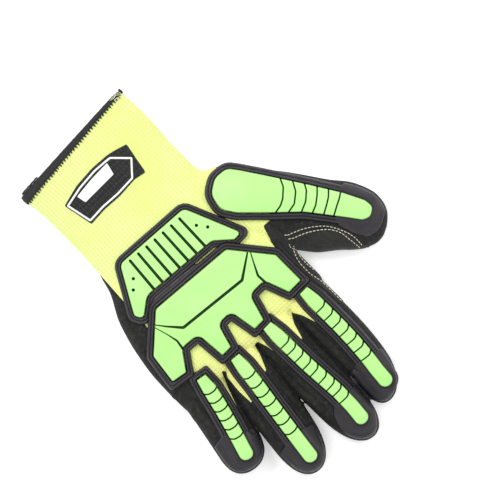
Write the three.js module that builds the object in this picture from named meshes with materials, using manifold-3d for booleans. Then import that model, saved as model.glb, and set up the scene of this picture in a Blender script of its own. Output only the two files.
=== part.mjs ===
// An impact glove for the right hand, lying palm down. Its fingers point along +Y and its thumb to -X.
// A knitted shell is dipped black over the palm and the fingers. Two-colour rubber guards lie on its back.
// Millimetres, +Z up. The origin is on the flat underside of the palm, which rests on the surface.
import * as THREE from 'three';
import { mergeVertices } from 'three/addons/utils/BufferGeometryUtils.js';
import Module from 'manifold-3d';

const wasm = await Module();
wasm.setup();

// Sizes of the shell
const HAND_LENGTH = 170; // from the cuff's end to the finger crotches
const CUFF_WIDTH = 91;
const CUFF_HEIGHT = 16;
const PALM_HEIGHT = 25;
const PALM_EASE = 1.5; // what the palm is wider than its fingers, on each side
const WALL = 2.0; // knit and dip together
const SEAM = 0.3; // the clearance between neighbouring pieces
const FINGER_GAP = 0.4; // between two fingers at their roots

// A digit's width is at its root and its length from the crotch to the tip. Lean turns it towards +X, in
// degrees. Curl bends the tip sideways and belly swells the middle, both as shares of the width. From is
// where it starts, as a share of the hand's length.
const FINGERS = [
  { name: 'index', width: 27.5, height: 20, length: 84, lean: -1, curl: 0.32, belly: 1.02, from: 1 },
  { name: 'middle', width: 28.5, height: 21, length: 93, lean: 4, curl: -0.1, belly: 1.12, from: 1 },
  { name: 'ring', width: 28.5, height: 20, length: 85, lean: 9.3, curl: 0.04, belly: 1.12, from: 1 },
  { name: 'little', width: 30.5, height: 18.5, length: 61, lean: 10.9, curl: 0.05, belly: 0.97, from: 0.97 },
];
const THUMB = { width: 44, height: 23, length: 118, lean: -34.5, curl: 0, belly: 1, from: 0.47 };
const THUMB_STALL_FROM = 0.4; // where the thumb's stall begins, as a share of its length
const THUMB_ROOT = -0.295; // where the thumb's line starts beside the cuff's axis, in palm widths

// Sizes of the guards
const BASE_FLOOR = 1.6; // the black base under the green pad
const RIM_HEIGHT = 3.2; // the black border above the shell
const PAD_HEIGHT = 4.8; // the green pad above the shell
const GROOVE_DEPTH = 1.7;
const KNUCKLE_BORDER = 4.6;
const WRIST_BORDER = 4.0;
const THUMB_BORDER = 4.8;
const STRIP_BORDER = 4.3;
const PAD_WIDTH = 9.4; // a finger's green pad
const PAD_ROOT_WIDTH = 7; // its narrow end at the knuckle
const PAD_FLARE = 9; // the length over which it widens
const PAD_BEND = 0.6; // where the pad's sides turn with the finger, as a share of the pad's length
const PADDLE_WIDTH = 25; // a finger base's wide end, over the fingertip
const PADDLE_ROUND = 0.45; // the radius of its corners, as a share of its width
const PADDLE_SHOULDER = 0.4; // the length over which the base widens, in strip borders
const PADDLE_REACH = 1.35; // how far the base goes past the pad's end, in strip borders
const ROOT_REACH = 0.8; // the same at the pad's root
const GROOVE_WIDTH = 0.9; // between two segments of a finger's or the thumb's pad
const GROOVE_BOW = 3.2; // how far the middle of a finger's groove runs ahead of its ends
const CREASE_WIDTH = 1.6; // the grooves of the knuckle pad
const SLOT_WIDTH = 1.8; // the slots of the wrist pad
const SLOT_COUNT = 7;
const DIMPLE_RADIUS = 0.9;
const CORNER_RADIUS = 4; // of an outline's corner whose round is 1
const LEAST_RADIUS = 0.4; // of a corner whose outline has moved out
const CORNER_SHARE = 0.45; // how much of a side a rounded corner may take
const LEAST_MITRE = 0.35; // keeps a sharp corner's mitre short
const GUARD_SKIRT = 10; // how high above the surface the guards' lowest edges stay

// Sizes of the trim
const HEM_LENGTH = 4.2;
const HEM_PROUD = 0.9;
const LABEL_THICKNESS = 0.5;
const PATCH_THICKNESS = 1.1;
const PATCH_LIFT = 3; // the patch's lowest edge above the surface

// How a section is rounded: its widest level as a share of its height, the exponents of its sides, and how
// strongly its underside is pressed flat.
const WIDEST_AT = 0.42;
const SIDE_POWER = 0.8;
const TOP_POWER = 0.86;
const PRESS = 1.35;

// Where a closed end begins, which a grown form lengthens, as shares of the hand's and a digit's length
const PALM_END = 0.9;
const TIP_END = 0.7;

const HAND_POINTS = 22; // round a section of the hand
const DIGIT_POINTS = 10; // round a section of a digit
const CORNER_STEPS = 2; // in each rounded corner of an outline
const TALL = 3 * PALM_HEIGHT; // higher than anything, for the cutters

const WRIST_ALONG = 0.38; // where the cuff's knit is parted from the hand's, as a share of the hand's length

// Sections of the hand: place along the hand's length, centre as a share of the palm's width, how far the
// width has gone from the cuff's to the palm's, how far the height has, and the section's slant.
const HAND_SECTIONS = [
  { along: 0.012, centre: -0.01, spread: 0.0, swell: 0.0, slant: 0.055 },
  { along: 0.12, centre: -0.02, spread: -0.02, swell: 0.02, slant: 0.045 },
  { along: 0.27, centre: -0.014, spread: -0.07, swell: 0.12, slant: 0.03 },
  { along: WRIST_ALONG, centre: -0.01, spread: -0.04, swell: 0.4, slant: 0.01 },
  { along: 0.47, centre: -0.005, spread: 0.12, swell: 0.72, slant: 0 },
  { along: 0.59, centre: 0.028, spread: 0.55, swell: 0.95, slant: 0 },
  { along: 0.71, centre: 0.042, spread: 0.84, swell: 1.0, slant: 0 },
  { along: 0.84, centre: 0.051, spread: 0.99, swell: 0.98, slant: 0 },
  { along: 0.97, centre: 0.053, spread: 1.0, swell: 0.45, slant: 0 },
  { along: 1.0, centre: 0.053, spread: 0.98, swell: 0.05, slant: 0 },
];
const PALM_CENTRE = HAND_SECTIONS.at(-1).centre;
const ORIGIN_ALONG = 0.62; // where the origin lies along the hand

// Sections of a finger and of the thumb, as shares of its own length, width and height. Lift raises the
// underside near the tip, and the first section lies inside the hand.
const FINGER_SECTIONS = [
  { along: -0.22, side: 0, width: 0.78, height: 0.72, lift: 0 },
  { along: 0.0, side: 0, width: 1.0, height: 0.94, lift: 0 },
  { along: 0.36, side: 0, width: 1.0, height: 1.0, lift: 0 },
  { along: 0.75, side: 0, width: 0.97, height: 0.97, lift: 0 },
  { along: 0.87, side: 0, width: 0.86, height: 0.88, lift: 0.02 },
  { along: 0.95, side: 0, width: 0.64, height: 0.7, lift: 0.08 },
  { along: 1.0, side: 0, width: 0.3, height: 0.34, lift: 0.22 },
];
const THUMB_SECTIONS = [
  { along: -0.14, side: 0.2, width: 0.5, height: 0.66, lift: 0 },
  { along: 0.04, side: 0.01, width: 0.88, height: 0.86, lift: 0 },
  { along: 0.22, side: -0.02, width: 1.02, height: 1.0, lift: 0 },
  { along: 0.45, side: -0.05, width: 1.06, height: 1.0, lift: 0 },
  { along: 0.65, side: -0.06, width: 1.04, height: 0.96, lift: 0 },
  { along: 0.8, side: -0.125, width: 0.95, height: 0.92, lift: 0 },
  { along: 0.9, side: -0.125, width: 0.82, height: 0.82, lift: 0.02 },
  { along: 0.965, side: -0.11, width: 0.6, height: 0.62, lift: 0.08 },
  { along: 1.0, side: -0.1, width: 0.3, height: 0.32, lift: 0.2 },
];

// Outlines on the hand's back: across as a share of the palm's width, along of the
// hand's length, and how round each corner is as a share of the corner radius.
const KNUCKLE_PAD = [
  { across: -0.361, along: 0.815, round: 0.5 },
  { across: -0.361, along: 0.95, round: 0.3 },
  { across: -0.273, along: 0.95, round: 0.3 },
  { across: -0.223, along: 0.855, round: 1 },
  { across: -0.118, along: 0.855, round: 1 },
  { across: -0.076, along: 0.956, round: 0.3 },
  { across: -0.008, along: 0.956, round: 0.3 },
  { across: 0.014, along: 0.849, round: 1.12 },
  { across: 0.111, along: 0.849, round: 1.12 },
  { across: 0.148, along: 0.941, round: 0.3 },
  { across: 0.211, along: 0.941, round: 0.3 },
  { across: 0.223, along: 0.823, round: 1 },
  { across: 0.333, along: 0.815, round: 1 },
  { across: 0.409, along: 0.891, round: 0.3 },
  { across: 0.495, along: 0.881, round: 0.3 },
  { across: 0.472, along: 0.765, round: 0.75 },
  { across: 0.287, along: 0.647, round: 1 },
  { across: -0.198, along: 0.675, round: 1 },
];
// The creases' points, as pairs of across and along
const KNUCKLE_CREASES = [
  [[-0.29, 0.735], [-0.218, 0.828], [-0.222, 0.875]],
  [[-0.29, 0.722], [-0.143, 0.797], [0.253, 0.768], [0.36, 0.68]],
  [[0.365, 0.685], [0.323, 0.782], [0.332, 0.835]],
];
const WRIST_PAD = [
  { across: -0.332, along: 0.668, round: 0.75 },
  { across: -0.27, along: 0.671, round: 0.62 },
  { across: -0.177, along: 0.615, round: 1.75 },
  { across: 0.27, along: 0.589, round: 2 },
  { across: 0.371, along: 0.641, round: 0.75 },
  { across: 0.405, along: 0.609, round: 0.75 },
  { across: 0.252, along: 0.437, round: 1.25 },
  { across: -0.192, along: 0.458, round: 1.25 },
];
// The pointed lower ends of the first and the last slot, and where each slot's open end lies from there
const WRIST_SLOTS = {
  first: { across: -0.133, along: 0.47 },
  last: { across: 0.205, along: 0.454 },
  run: { across: 0.015, along: 0.2 },
};
const WRIST_DIMPLES = [
  { across: -0.213, along: 0.569 },
  { across: -0.177, along: 0.535 },
  { across: 0.299, along: 0.539 },
  { across: 0.257, along: 0.51 },
];
// The label's outline, across as a share of the cuff's width
const LABEL_OUTLINE = [
  { across: -0.242, along: 0.262, round: 0.25 },
  { across: -0.144, along: 0.252, round: 0.75 },
  { across: 0.275, along: 0.256, round: 0.25 },
  { across: 0.318, along: 0.138, round: 0.25 },
  { across: 0.170, along: 0.118, round: 2 },
  { across: -0.170, along: 0.114, round: 2 },
  { across: -0.285, along: 0.138, round: 0.25 },
];
// The reinforcing patch in the fork between the thumb and the hand: its side on the thumb, as shares of the
// thumb's length and width, and its side on the hand.
const PATCH_ON_THUMB = [
  { along: 0.895, side: 0.32, round: 1 },
  { along: 0.757, side: 0.18, round: 2 },
  { along: 0.602, side: 0.2, round: 2 },
  { along: 0.5, side: 0.29, round: 0.5 },
];
const PATCH_ON_HAND = [
  { across: -0.48, along: 0.715, round: 0.4 },
  { across: -0.43, along: 0.715, round: 0.4 },
  { across: -0.41, along: 0.8, round: 1 },
  { across: -0.425, along: 0.92, round: 2 },
  { across: -0.43, along: 1.06, round: 1 },
  { across: -0.5, along: 1.1, round: 1 },
];
// The yellow knit shows on the hand's back inside this outline, and the black dip is all the rest. It starts
// on the thumb and goes on round the hand.
const KNIT_ON_THUMB = [
  { along: -0.02, side: -1.1, round: 0.25 },
  { along: 0.255, side: -0.6, round: 0.25 },
  { along: 0.375, side: 0.07, round: 0.25 },
];
const KNIT_ON_HAND = [
  { across: -0.42, along: 0.72, round: 1 },
  { across: -0.4, along: 0.8, round: 1 },
  { across: -0.4, along: 1.2, round: 0.25 },
  { across: 0.37, along: 1.2, round: 0.25 },
  { across: 0.4, along: 0.75, round: 2 },
  { across: 0.4, along: 0.3, round: 0.25 },
];
// The thumb guard's outlines, as shares of the thumb's own length and width.
const THUMB_PAD = [
  { along: 0.876, side: -0.412, round: 1.25 },
  { along: 0.934, side: -0.19, round: 1.25 },
  { along: 0.874, side: -0.1, round: 1.25 },
  { along: 0.437, side: -0.015, round: 5 },
  { along: 0.187, side: 0.15, round: 2.25 },
  { along: 0.08, side: 0.06, round: 2.25 },
  { along: 0.06, side: -0.243, round: 2.5 },
  { along: 0.119, side: -0.47, round: 2.5 },
  { along: 0.4, side: -0.47, round: 7.5 },
  { along: 0.737, side: -0.448, round: 5 },
];
const THUMB_PADDLE = [
  { along: 0.74, side: 0.02, round: 0.25 },
  { along: 0.835, side: 0.075, round: 2 },
  { along: 0.92, side: 0.08, round: 1.5 },
  { along: 0.985, side: -0.05, round: 1.25 },
  { along: 0.985, side: -0.38, round: 1.5 },
  { along: 0.9, side: -0.56, round: 1.5 },
  { along: 0.755, side: -0.6, round: 0.25 },
];
const THUMB_GROOVES = { count: 6, first: 0.385, last: 0.735, bow: 0.03 };
const THUMB_GROOVE_SIDES = { left: -0.52, crown: -0.26, right: 0.06 };

// Along each finger: where its pad starts and ends, where the base widens over the fingertip, and the pad's
// first and last groove.
const FINGER_GUARDS = {
  index: { from: -0.02, to: 0.925, paddle: 0.68, first: 0.16, last: 0.655, grooves: 7 },
  middle: { from: -0.02, to: 0.9, paddle: 0.7, first: 0.145, last: 0.69, grooves: 9 },
  ring: { from: -0.02, to: 0.92, paddle: 0.71, first: 0.15, last: 0.655, grooves: 7 },
  little: { from: -0.07, to: 0.88, paddle: 0.55, first: 0.14, last: 0.64, grooves: 6 },
};
// How far to -X of a finger's own line its pad's middle lies, as shares of the finger's width
const PAD_LINES = {
  index: { root: 0.07, middle: 0.05, end: 0.1 },
  middle: { root: -0.07, middle: 0.05, end: 0.08 },
  ring: { root: -0.04, middle: 0.01, end: 0.02 },
  little: { root: 0.13, middle: 0.05, end: 0.02 },
};

// The middles of the fingers' roots, laid side by side from the palm's centre
const fingerSpan = FINGERS.reduce((sum, f) => sum + f.width, 0) + FINGER_GAP * (FINGERS.length - 1);
const PALM_WIDTH = fingerSpan + 2 * PALM_EASE;
let rootEdge = PALM_CENTRE * PALM_WIDTH - fingerSpan / 2;
for (const finger of FINGERS) {
  finger.root = new THREE.Vector2(rootEdge + finger.width / 2, finger.from * HAND_LENGTH);
  finger.sections = FINGER_SECTIONS;
  rootEdge += finger.width + FINGER_GAP;
}
THUMB.root = new THREE.Vector2(THUMB_ROOT * PALM_WIDTH, THUMB.from * HAND_LENGTH);
THUMB.sections = THUMB_SECTIONS;
const DIGITS = [THUMB, ...FINGERS];

const mix = (a, b, share) => a + (b - a) * share;
const signedPower = (value, power) => Math.sign(value) * Math.abs(value) ** power;

// A section as points [across, up], grown by a distance on every side, with a flat underside
function sectionPoints(width, height, grow, count) {
  const half = width / 2 + grow;
  const top = height + grow;
  const bottom = -grow;
  const widest = mix(bottom, top, WIDEST_AT);
  return Array.from({ length: count }, (_, i) => {
    const angle = (2 * Math.PI * i) / count;
    const across = half * signedPower(Math.cos(angle), SIDE_POWER);
    const rise = Math.abs(Math.sin(angle)) ** TOP_POWER;
    const pressed = Math.max(bottom, mix(widest, bottom, rise * PRESS));
    const up = angle <= Math.PI ? mix(widest, top, rise) : pressed;
    return [across, up];
  });
}

const joined = (solids) => solids.reduce((all, solid) => all.add(solid));

function solidOf(geometry) {
  for (const name of ['normal', 'uv']) geometry.deleteAttribute(name);
  const merged = mergeVertices(geometry, 1e-4);
  return new wasm.Manifold(new wasm.Mesh({
    numProp: 3,
    vertProperties: new Float32Array(merged.attributes.position.array),
    triVerts: new Uint32Array(merged.index.array),
  }));
}

// A closed body through rings of equally many points, each ring's points turning the same way
function loft(rings) {
  const count = rings[0].length;
  const indices = [];
  for (let r = 0; r + 1 < rings.length; r++) {
    for (let i = 0; i < count; i++) {
      const a = r * count + i;
      const b = r * count + ((i + 1) % count);
      indices.push(a, a + count, b, b, a + count, b + count);
    }
  }
  const last = (rings.length - 1) * count;
  for (let i = 1; i + 1 < count; i++) {
    indices.push(0, i, i + 1);
    indices.push(last, last + i + 1, last + i);
  }
  const geometry = new THREE.BufferGeometry().setFromPoints(rings.flat());
  geometry.setIndex(indices);
  return solidOf(geometry);
}

// How much of a closed end's growth a section takes, from none far from the end to all of it at the end
const endShare = (along, from) => THREE.MathUtils.clamp((along - from) / (1 - from), 0, 1);

function handRing(section, grow, along = section.along * HAND_LENGTH) {
  const width = mix(CUFF_WIDTH, PALM_WIDTH, section.spread);
  const height = mix(CUFF_HEIGHT, PALM_HEIGHT, section.swell);
  const centre = section.centre * PALM_WIDTH;
  return sectionPoints(width, height, grow, HAND_POINTS).map(([across, up]) =>
    new THREE.Vector3(centre + across, along + section.slant * (centre + across), up));
}

function handBody(grow, mouth = 0) {
  const rings = HAND_SECTIONS.map((section) =>
    handRing(section, grow, section.along * HAND_LENGTH + grow * endShare(section.along, PALM_END)));
  if (mouth > 0) rings.unshift(handRing(HAND_SECTIONS[0], grow, -mouth));
  return loft(rings);
}

// A point of the digit's plan: shares of its length and width, with its curl
function digitPoint(digit, along, side) {
  const lean = THREE.MathUtils.degToRad(digit.lean);
  const ahead = new THREE.Vector2(Math.sin(lean), Math.cos(lean));
  const right = new THREE.Vector2(Math.cos(lean), -Math.sin(lean));
  const bend = digit.curl * Math.max(0, along) ** 3;
  return digit.root.clone()
    .addScaledVector(ahead, along * digit.length)
    .addScaledVector(right, (side + bend) * digit.width);
}

function digitBody(digit, grow) {
  const lean = THREE.MathUtils.degToRad(digit.lean);
  const rings = digit.sections.map((section) => {
    const reach = section.along + (grow * endShare(section.along, TIP_END)) / digit.length;
    const middle = digitPoint(digit, reach, section.side);
    const swell = mix(1, digit.belly, Math.sin(Math.PI * THREE.MathUtils.clamp(section.along, 0, 1)));
    const width = digit.width * section.width * swell;
    return sectionPoints(width, digit.height * section.height, grow, DIGIT_POINTS).map(([across, up]) =>
      new THREE.Vector3(
        middle.x + across * Math.cos(lean),
        middle.y - across * Math.sin(lean),
        up + section.lift * digit.height,
      ));
  });
  return loft(rings);
}

const grownBodies = new Map();
// The glove's whole outer form, grown by a distance
function outerForm(grow) {
  if (!grownBodies.has(grow)) {
    grownBodies.set(grow, joined([handBody(grow), ...DIGITS.map((digit) => digitBody(digit, grow))]));
  }
  return grownBodies.get(grow);
}

// Corners {x, y, radius} as plan points, with each corner rounded as far as its sides allow
function rounded(corners) {
  const points = [];
  corners.forEach((corner, i) => {
    const here = new THREE.Vector2(corner.x, corner.y);
    const before = corners[(i + corners.length - 1) % corners.length];
    const after = corners[(i + 1) % corners.length];
    const toBefore = new THREE.Vector2(before.x, before.y).sub(here);
    const toAfter = new THREE.Vector2(after.x, after.y).sub(here);
    const half = Math.abs(toBefore.angleTo(toAfter)) / 2;
    const wanted = corner.radius / Math.max(Math.tan(half), 0.01);
    const cut = Math.min(wanted, CORNER_SHARE * toBefore.length(), CORNER_SHARE * toAfter.length());
    const start = here.clone().addScaledVector(toBefore.normalize(), cut);
    const end = here.clone().addScaledVector(toAfter.normalize(), cut);
    const curve = new THREE.QuadraticBezierCurve(start, here, end);
    points.push(...curve.getPoints(CORNER_STEPS));
  });
  return points;
}

// The same outline with its sides moved out by a distance and its corners mitred
function offset(corners, distance) {
  const area = THREE.ShapeUtils.area(corners.map((c) => new THREE.Vector2(c.x, c.y)));
  const turn = Math.sign(area);
  return corners.map((corner, i) => {
    const before = corners[(i + corners.length - 1) % corners.length];
    const after = corners[(i + 1) % corners.length];
    const inward = new THREE.Vector2(corner.x - before.x, corner.y - before.y).normalize();
    const outward = new THREE.Vector2(after.x - corner.x, after.y - corner.y).normalize();
    const normalA = new THREE.Vector2(inward.y, -inward.x).multiplyScalar(turn);
    const normalB = new THREE.Vector2(outward.y, -outward.x).multiplyScalar(turn);
    const mitre = normalA.clone().add(normalB);
    const reach = distance / Math.max(mitre.lengthSq() / 2, LEAST_MITRE);
    const bulging = inward.cross(outward) * turn > 0;
    const radius = Math.max(LEAST_RADIUS, corner.radius + (bulging ? distance : -distance));
    return { x: corner.x + mitre.x * reach, y: corner.y + mitre.y * reach, radius };
  });
}

function prism(points) {
  const shape = new THREE.Shape(points);
  return solidOf(new THREE.ExtrudeGeometry(shape, { depth: TALL, bevelEnabled: false }));
}

const handPoint = (across, along) => new THREE.Vector2(across * PALM_WIDTH, along * HAND_LENGTH);
const cornerAt = (point, round) => ({ x: point.x, y: point.y, radius: round * CORNER_RADIUS });
const onHand = (corners) => corners.map((c) => cornerAt(handPoint(c.across, c.along), c.round));
const onCuff = (corners) => {
  const share = CUFF_WIDTH / PALM_WIDTH;
  return onHand(corners.map((c) => ({ ...c, across: c.across * share })));
};
const onDigit = (digit, corners) =>
  corners.map((c) => cornerAt(digitPoint(digit, c.along, c.side), c.round));
const plate = (corners) => prism(rounded(corners));

// A band of a width along a plan polyline
function band(points, width) {
  const side = (sign) => points.map((point, i) => {
    const next = points[Math.min(i + 1, points.length - 1)];
    const ahead = next.clone().sub(points[Math.max(i - 1, 0)]).normalize();
    return new THREE.Vector2(point.x - sign * ahead.y * width / 2, point.y + sign * ahead.x * width / 2);
  });
  return prism([...side(1), ...side(-1).reverse()]);
}

// What lies above the shell between two heights, over a plan prism
const layer = (plan, low, high) => plan.intersect(outerForm(high)).subtract(outerForm(low));

// The biggest of a solid's separate bodies, without the crumbs that a cut leaves
const mainBody = (solid) => solid.decompose().reduce((a, b) => (a.volume() > b.volume() ? a : b));

// A guard: a black base with a raised border, and a green pad in its tray, with grooves cut in the pad. Its
// base follows one or more outlines, and it keeps off the guards made before it.
function guard(outlines, padCorners, grooves, keepOff = []) {
  const tray = plate(offset(padCorners, SEAM)).subtract(outerForm(BASE_FLOOR));
  const upper = aboveZ(GUARD_SKIRT);
  const clear = (solid) => keepOff.reduce((rest, other) => rest.subtract(other), solid.intersect(upper));
  const base = layer(joined(outlines.map(plate)), SEAM, RIM_HEIGHT).subtract(tray);
  const pad = layer(plate(padCorners), BASE_FLOOR + SEAM, PAD_HEIGHT);
  const cuts = joined(grooves).subtract(outerForm(PAD_HEIGHT - GROOVE_DEPTH));
  return {
    base: mainBody(clear(base)),
    pad: mainBody(clear(pad.subtract(cuts))),
    around: joined(outlines.map((outline) => plate(offset(outline, SEAM)))),
  };
}

function knuckleGuard() {
  const corners = onHand(KNUCKLE_PAD);
  const creases = KNUCKLE_CREASES.map((points) =>
    band(points.map(([across, along]) => handPoint(across, along)), CREASE_WIDTH));
  return guard([offset(corners, KNUCKLE_BORDER)], corners, creases);
}

function wristGuard(keepOff) {
  const corners = onHand(WRIST_PAD);
  const { first, last, run } = WRIST_SLOTS;
  const side = new THREE.Vector2(SLOT_WIDTH / 2, 0);
  const slots = Array.from({ length: SLOT_COUNT }, (_, i) => {
    const share = i / (SLOT_COUNT - 1);
    const foot = handPoint(mix(first.across, last.across, share), mix(first.along, last.along, share));
    const shoulder = foot.clone().add(new THREE.Vector2(0, 2 * SLOT_WIDTH));
    const mouth = foot.clone().add(handPoint(run.across, run.along));
    return prism([foot, ...[shoulder, mouth].map((p) => p.clone().add(side)),
      ...[mouth, shoulder].map((p) => p.clone().sub(side))]);
  });
  const dimples = WRIST_DIMPLES.map((dimple) => {
    const centre = handPoint(dimple.across, dimple.along);
    const hole = new THREE.CylinderGeometry(DIMPLE_RADIUS, DIMPLE_RADIUS, TALL, 8);
    return solidOf(hole.rotateX(Math.PI / 2).translate(centre.x, centre.y, TALL / 2));
  });
  return guard([offset(corners, WRIST_BORDER)], corners, [...slots, ...dimples], keepOff);
}

function thumbGuard(keepOff) {
  const corners = onDigit(THUMB, THUMB_PAD);
  const { count, first, last, bow } = THUMB_GROOVES;
  const { left, crown, right } = THUMB_GROOVE_SIDES;
  const grooves = Array.from({ length: count }, (_, i) => {
    const along = mix(first, last, i / (count - 1));
    const points = [[along - bow, left], [along + bow, crown], [along, right]];
    return band(points.map(([place, side]) => digitPoint(THUMB, place, side)), GROOVE_WIDTH);
  });
  const outlines = [offset(corners, THUMB_BORDER), onDigit(THUMB, THUMB_PADDLE)];
  return guard(outlines, corners, grooves, keepOff);
}

// The corners on both sides of a finger guard's own line, at stations of half a width each
function stripCorners(finger, stations) {
  const { root, middle, end } = PAD_LINES[finger.name];
  const side = (sign) => stations.map((station) => {
    const share = 2 * THREE.MathUtils.clamp(station.along / FINGER_GUARDS[finger.name].to, 0, 1);
    const left = share < 1 ? mix(root, middle, share) : mix(middle, end, share - 1);
    const point = digitPoint(finger, station.along, sign * station.half / finger.width - left);
    return { x: point.x, y: point.y, radius: station.radius };
  });
  return [...side(-1), ...side(1).reverse()];
}

function fingerGuard(finger, keepOff) {
  const sizes = FINGER_GUARDS[finger.name];
  const half = PAD_WIDTH / 2;
  const rootHalf = PAD_ROOT_WIDTH / 2;
  const flare = PAD_FLARE / finger.length;
  const rim = STRIP_BORDER / finger.length;
  const corners = stripCorners(finger, [
    { along: sizes.from, half: rootHalf, radius: half / 8 },
    { along: sizes.from + flare, half, radius: half },
    { along: mix(sizes.from, sizes.to, PAD_BEND), half, radius: half },
    { along: sizes.to, half, radius: half },
  ]);
  const base = stripCorners(finger, [
    { along: sizes.from - ROOT_REACH * rim, half: rootHalf + STRIP_BORDER, radius: half / 4 },
    { along: sizes.from + flare, half: half + STRIP_BORDER, radius: half },
    { along: sizes.paddle, half: half + STRIP_BORDER, radius: half / 8 },
    { along: sizes.paddle + PADDLE_SHOULDER * rim, half: PADDLE_WIDTH / 2, radius: half / 4 },
    { along: sizes.to + PADDLE_REACH * rim, half: PADDLE_WIDTH / 2, radius: PADDLE_ROUND * PADDLE_WIDTH },
  ]);
  const bow = GROOVE_BOW / 2 / finger.length;
  const grooves = Array.from({ length: sizes.grooves }, (_, i) => {
    const along = mix(sizes.first, sizes.last, i / (sizes.grooves - 1));
    const [left, right] = stripCorners(finger, [{ along: along - bow, half: PAD_WIDTH }]);
    const [crown] = stripCorners(finger, [{ along: along + bow, half: 0 }]);
    return band([left, crown, right].map((point) => new THREE.Vector2(point.x, point.y)), GROOVE_WIDTH);
  });
  return guard([base], corners, grooves, keepOff);
}

// A box between two corners, as a cutter
function block(low, high) {
  const box = new THREE.BoxGeometry(high[0] - low[0], high[1] - low[1], high[2] - low[2]);
  box.translate((low[0] + high[0]) / 2, (low[1] + high[1]) / 2, (low[2] + high[2]) / 2);
  return solidOf(box);
}

const WIDE = 3 * PALM_WIDTH;
const pastY = (y) => block([-WIDE, y, -TALL], [WIDE, y + WIDE, TALL]);
const upToY = (y) => block([-WIDE, y - WIDE, -TALL], [WIDE, y, TALL]);
const aboveZ = (z) => block([-WIDE, -WIDE, z], [WIDE, WIDE, z + TALL]);

// The shell's pieces: one hollow wall, parted where the yellow knit meets the black dip and at the digits
function shellPieces() {
  const tubes = DIGITS.map((digit) => digitBody(digit, -WALL));
  const cavity = joined([handBody(-WALL, WALL + HEM_LENGTH), ...tubes]);
  const shell = outerForm(0).subtract(cavity);
  const wrist = WRIST_ALONG * HAND_LENGTH;
  const pieces = {
    knit_cuff: shell.intersect(upToY(wrist)),
    thumb_stall: shell.intersect(digitBody(THUMB, 0)).intersect(thumbSide(SEAM)),
  };
  FINGERS.forEach((finger, i) => {
    const wall = digitBody(finger, 0).subtract(digitBody(finger, -WALL));
    const tube = wall.intersect(pastY(HAND_LENGTH + SEAM));
    const neighbours = FINGERS.slice(0, i).map((other) => digitBody(other, SEAM));
    pieces[finger.name + '_stall'] = neighbours.reduce((rest, other) => rest.subtract(other), tube);
  });
  const inReach = shell.intersect(pastY(wrist + SEAM)).intersect(upToY(HAND_LENGTH));
  const hand = inReach.subtract(digitBody(THUMB, SEAM).intersect(thumbSide(0)));
  const split = WIDEST_AT * PALM_HEIGHT;
  const knit = [...onDigit(THUMB, KNIT_ON_THUMB), ...onHand(KNIT_ON_HAND)];
  pieces.knit_back = hand.intersect(plate(knit)).intersect(aboveZ(split));
  pieces.dipped_palm = hand.subtract(plate(offset(knit, SEAM)).intersect(aboveZ(split - SEAM)));
  return pieces;
}

// The space of the thumb's stall: beyond a cut square to the thumb, and on the thumb's side of the hand,
// with a gap to both
function thumbSide(gap) {
  const lean = THREE.MathUtils.degToRad(THUMB.lean);
  const cut = digitPoint(THUMB, THUMB_STALL_FROM + gap / THUMB.length, 0);
  const half = new THREE.BoxGeometry(WIDE, WIDE, 2 * TALL).translate(0, WIDE / 2, 0).rotateZ(-lean);
  const handEdge = (PALM_CENTRE - 0.5) * PALM_WIDTH - gap;
  const besideHand = block([-WIDE, 0, -TALL], [handEdge, WIDE, TALL]);
  return solidOf(half.translate(cut.x, cut.y, 0)).intersect(besideHand);
}

// The black overlocked hem round the cuff's mouth
function hem() {
  const end = HAND_SECTIONS[0].along * HAND_LENGTH;
  const tube = (grow, from, to) => loft([from, to].map((y) => handRing(HAND_SECTIONS[0], grow, y)));
  const inside = tube(-WALL, end - 2 * HEM_LENGTH, end + HEM_LENGTH);
  return tube(HEM_PROUD, end - HEM_LENGTH, end - SEAM).subtract(inside).intersect(aboveZ(0));
}

const surface = (corners, thickness) => layer(plate(corners), SEAM, SEAM + thickness);

const FINISHES = {
  knit: { color: 0xd8f52a, roughness: 0.9, metalness: 0 },
  dip: { color: 0x1d1c1d, roughness: 0.85, metalness: 0 },
  blackRubber: { color: 0x2a272a, roughness: 0.5, metalness: 0 },
  greenRubber: { color: 0x9cf56a, roughness: 0.45, metalness: 0 },
  yarn: { color: 0x222022, roughness: 0.9, metalness: 0 },
  suede: { color: 0x232122, roughness: 0.9, metalness: 0 },
  print: { color: 0x26262b, roughness: 0.7, metalness: 0 },
};

const glove = new THREE.Group();
const fromCuff = new THREE.Group(); // everything is drawn with the cuff's end at Y 0
fromCuff.position.y = -ORIGIN_ALONG * HAND_LENGTH;
glove.add(fromCuff);

function show(name, solid, finish) {
  const { vertProperties, triVerts, numProp } = solid.getMesh();
  const points = Array.from({ length: vertProperties.length / numProp }, (_, i) =>
    new THREE.Vector3().fromArray(vertProperties, i * numProp));
  const geometry = new THREE.BufferGeometry().setFromPoints(points);
  geometry.setIndex([...triVerts]);
  geometry.computeVertexNormals();
  const mesh = new THREE.Mesh(geometry, new THREE.MeshStandardMaterial(FINISHES[finish]));
  mesh.name = name;
  fromCuff.add(mesh);
}

for (const [name, solid] of Object.entries(shellPieces())) {
  show(name, solid, name.startsWith('knit') ? 'knit' : 'dip');
}
show('cuff_hem', hem(), 'yarn');
show('cuff_label', surface(onCuff(LABEL_OUTLINE), LABEL_THICKNESS), 'print');

const guards = { knuckle: knuckleGuard() };
const madeBefore = () => Object.values(guards).map(({ around }) => around);
guards.wrist = wristGuard(madeBefore());
guards.thumb = thumbGuard(madeBefore());
for (const finger of FINGERS) guards[finger.name] = fingerGuard(finger, madeBefore());
for (const [name, { base, pad }] of Object.entries(guards)) {
  show(name + '_guard_base', base, 'blackRubber');
  show(name + '_guard_pad', pad, 'greenRubber');
}

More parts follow.
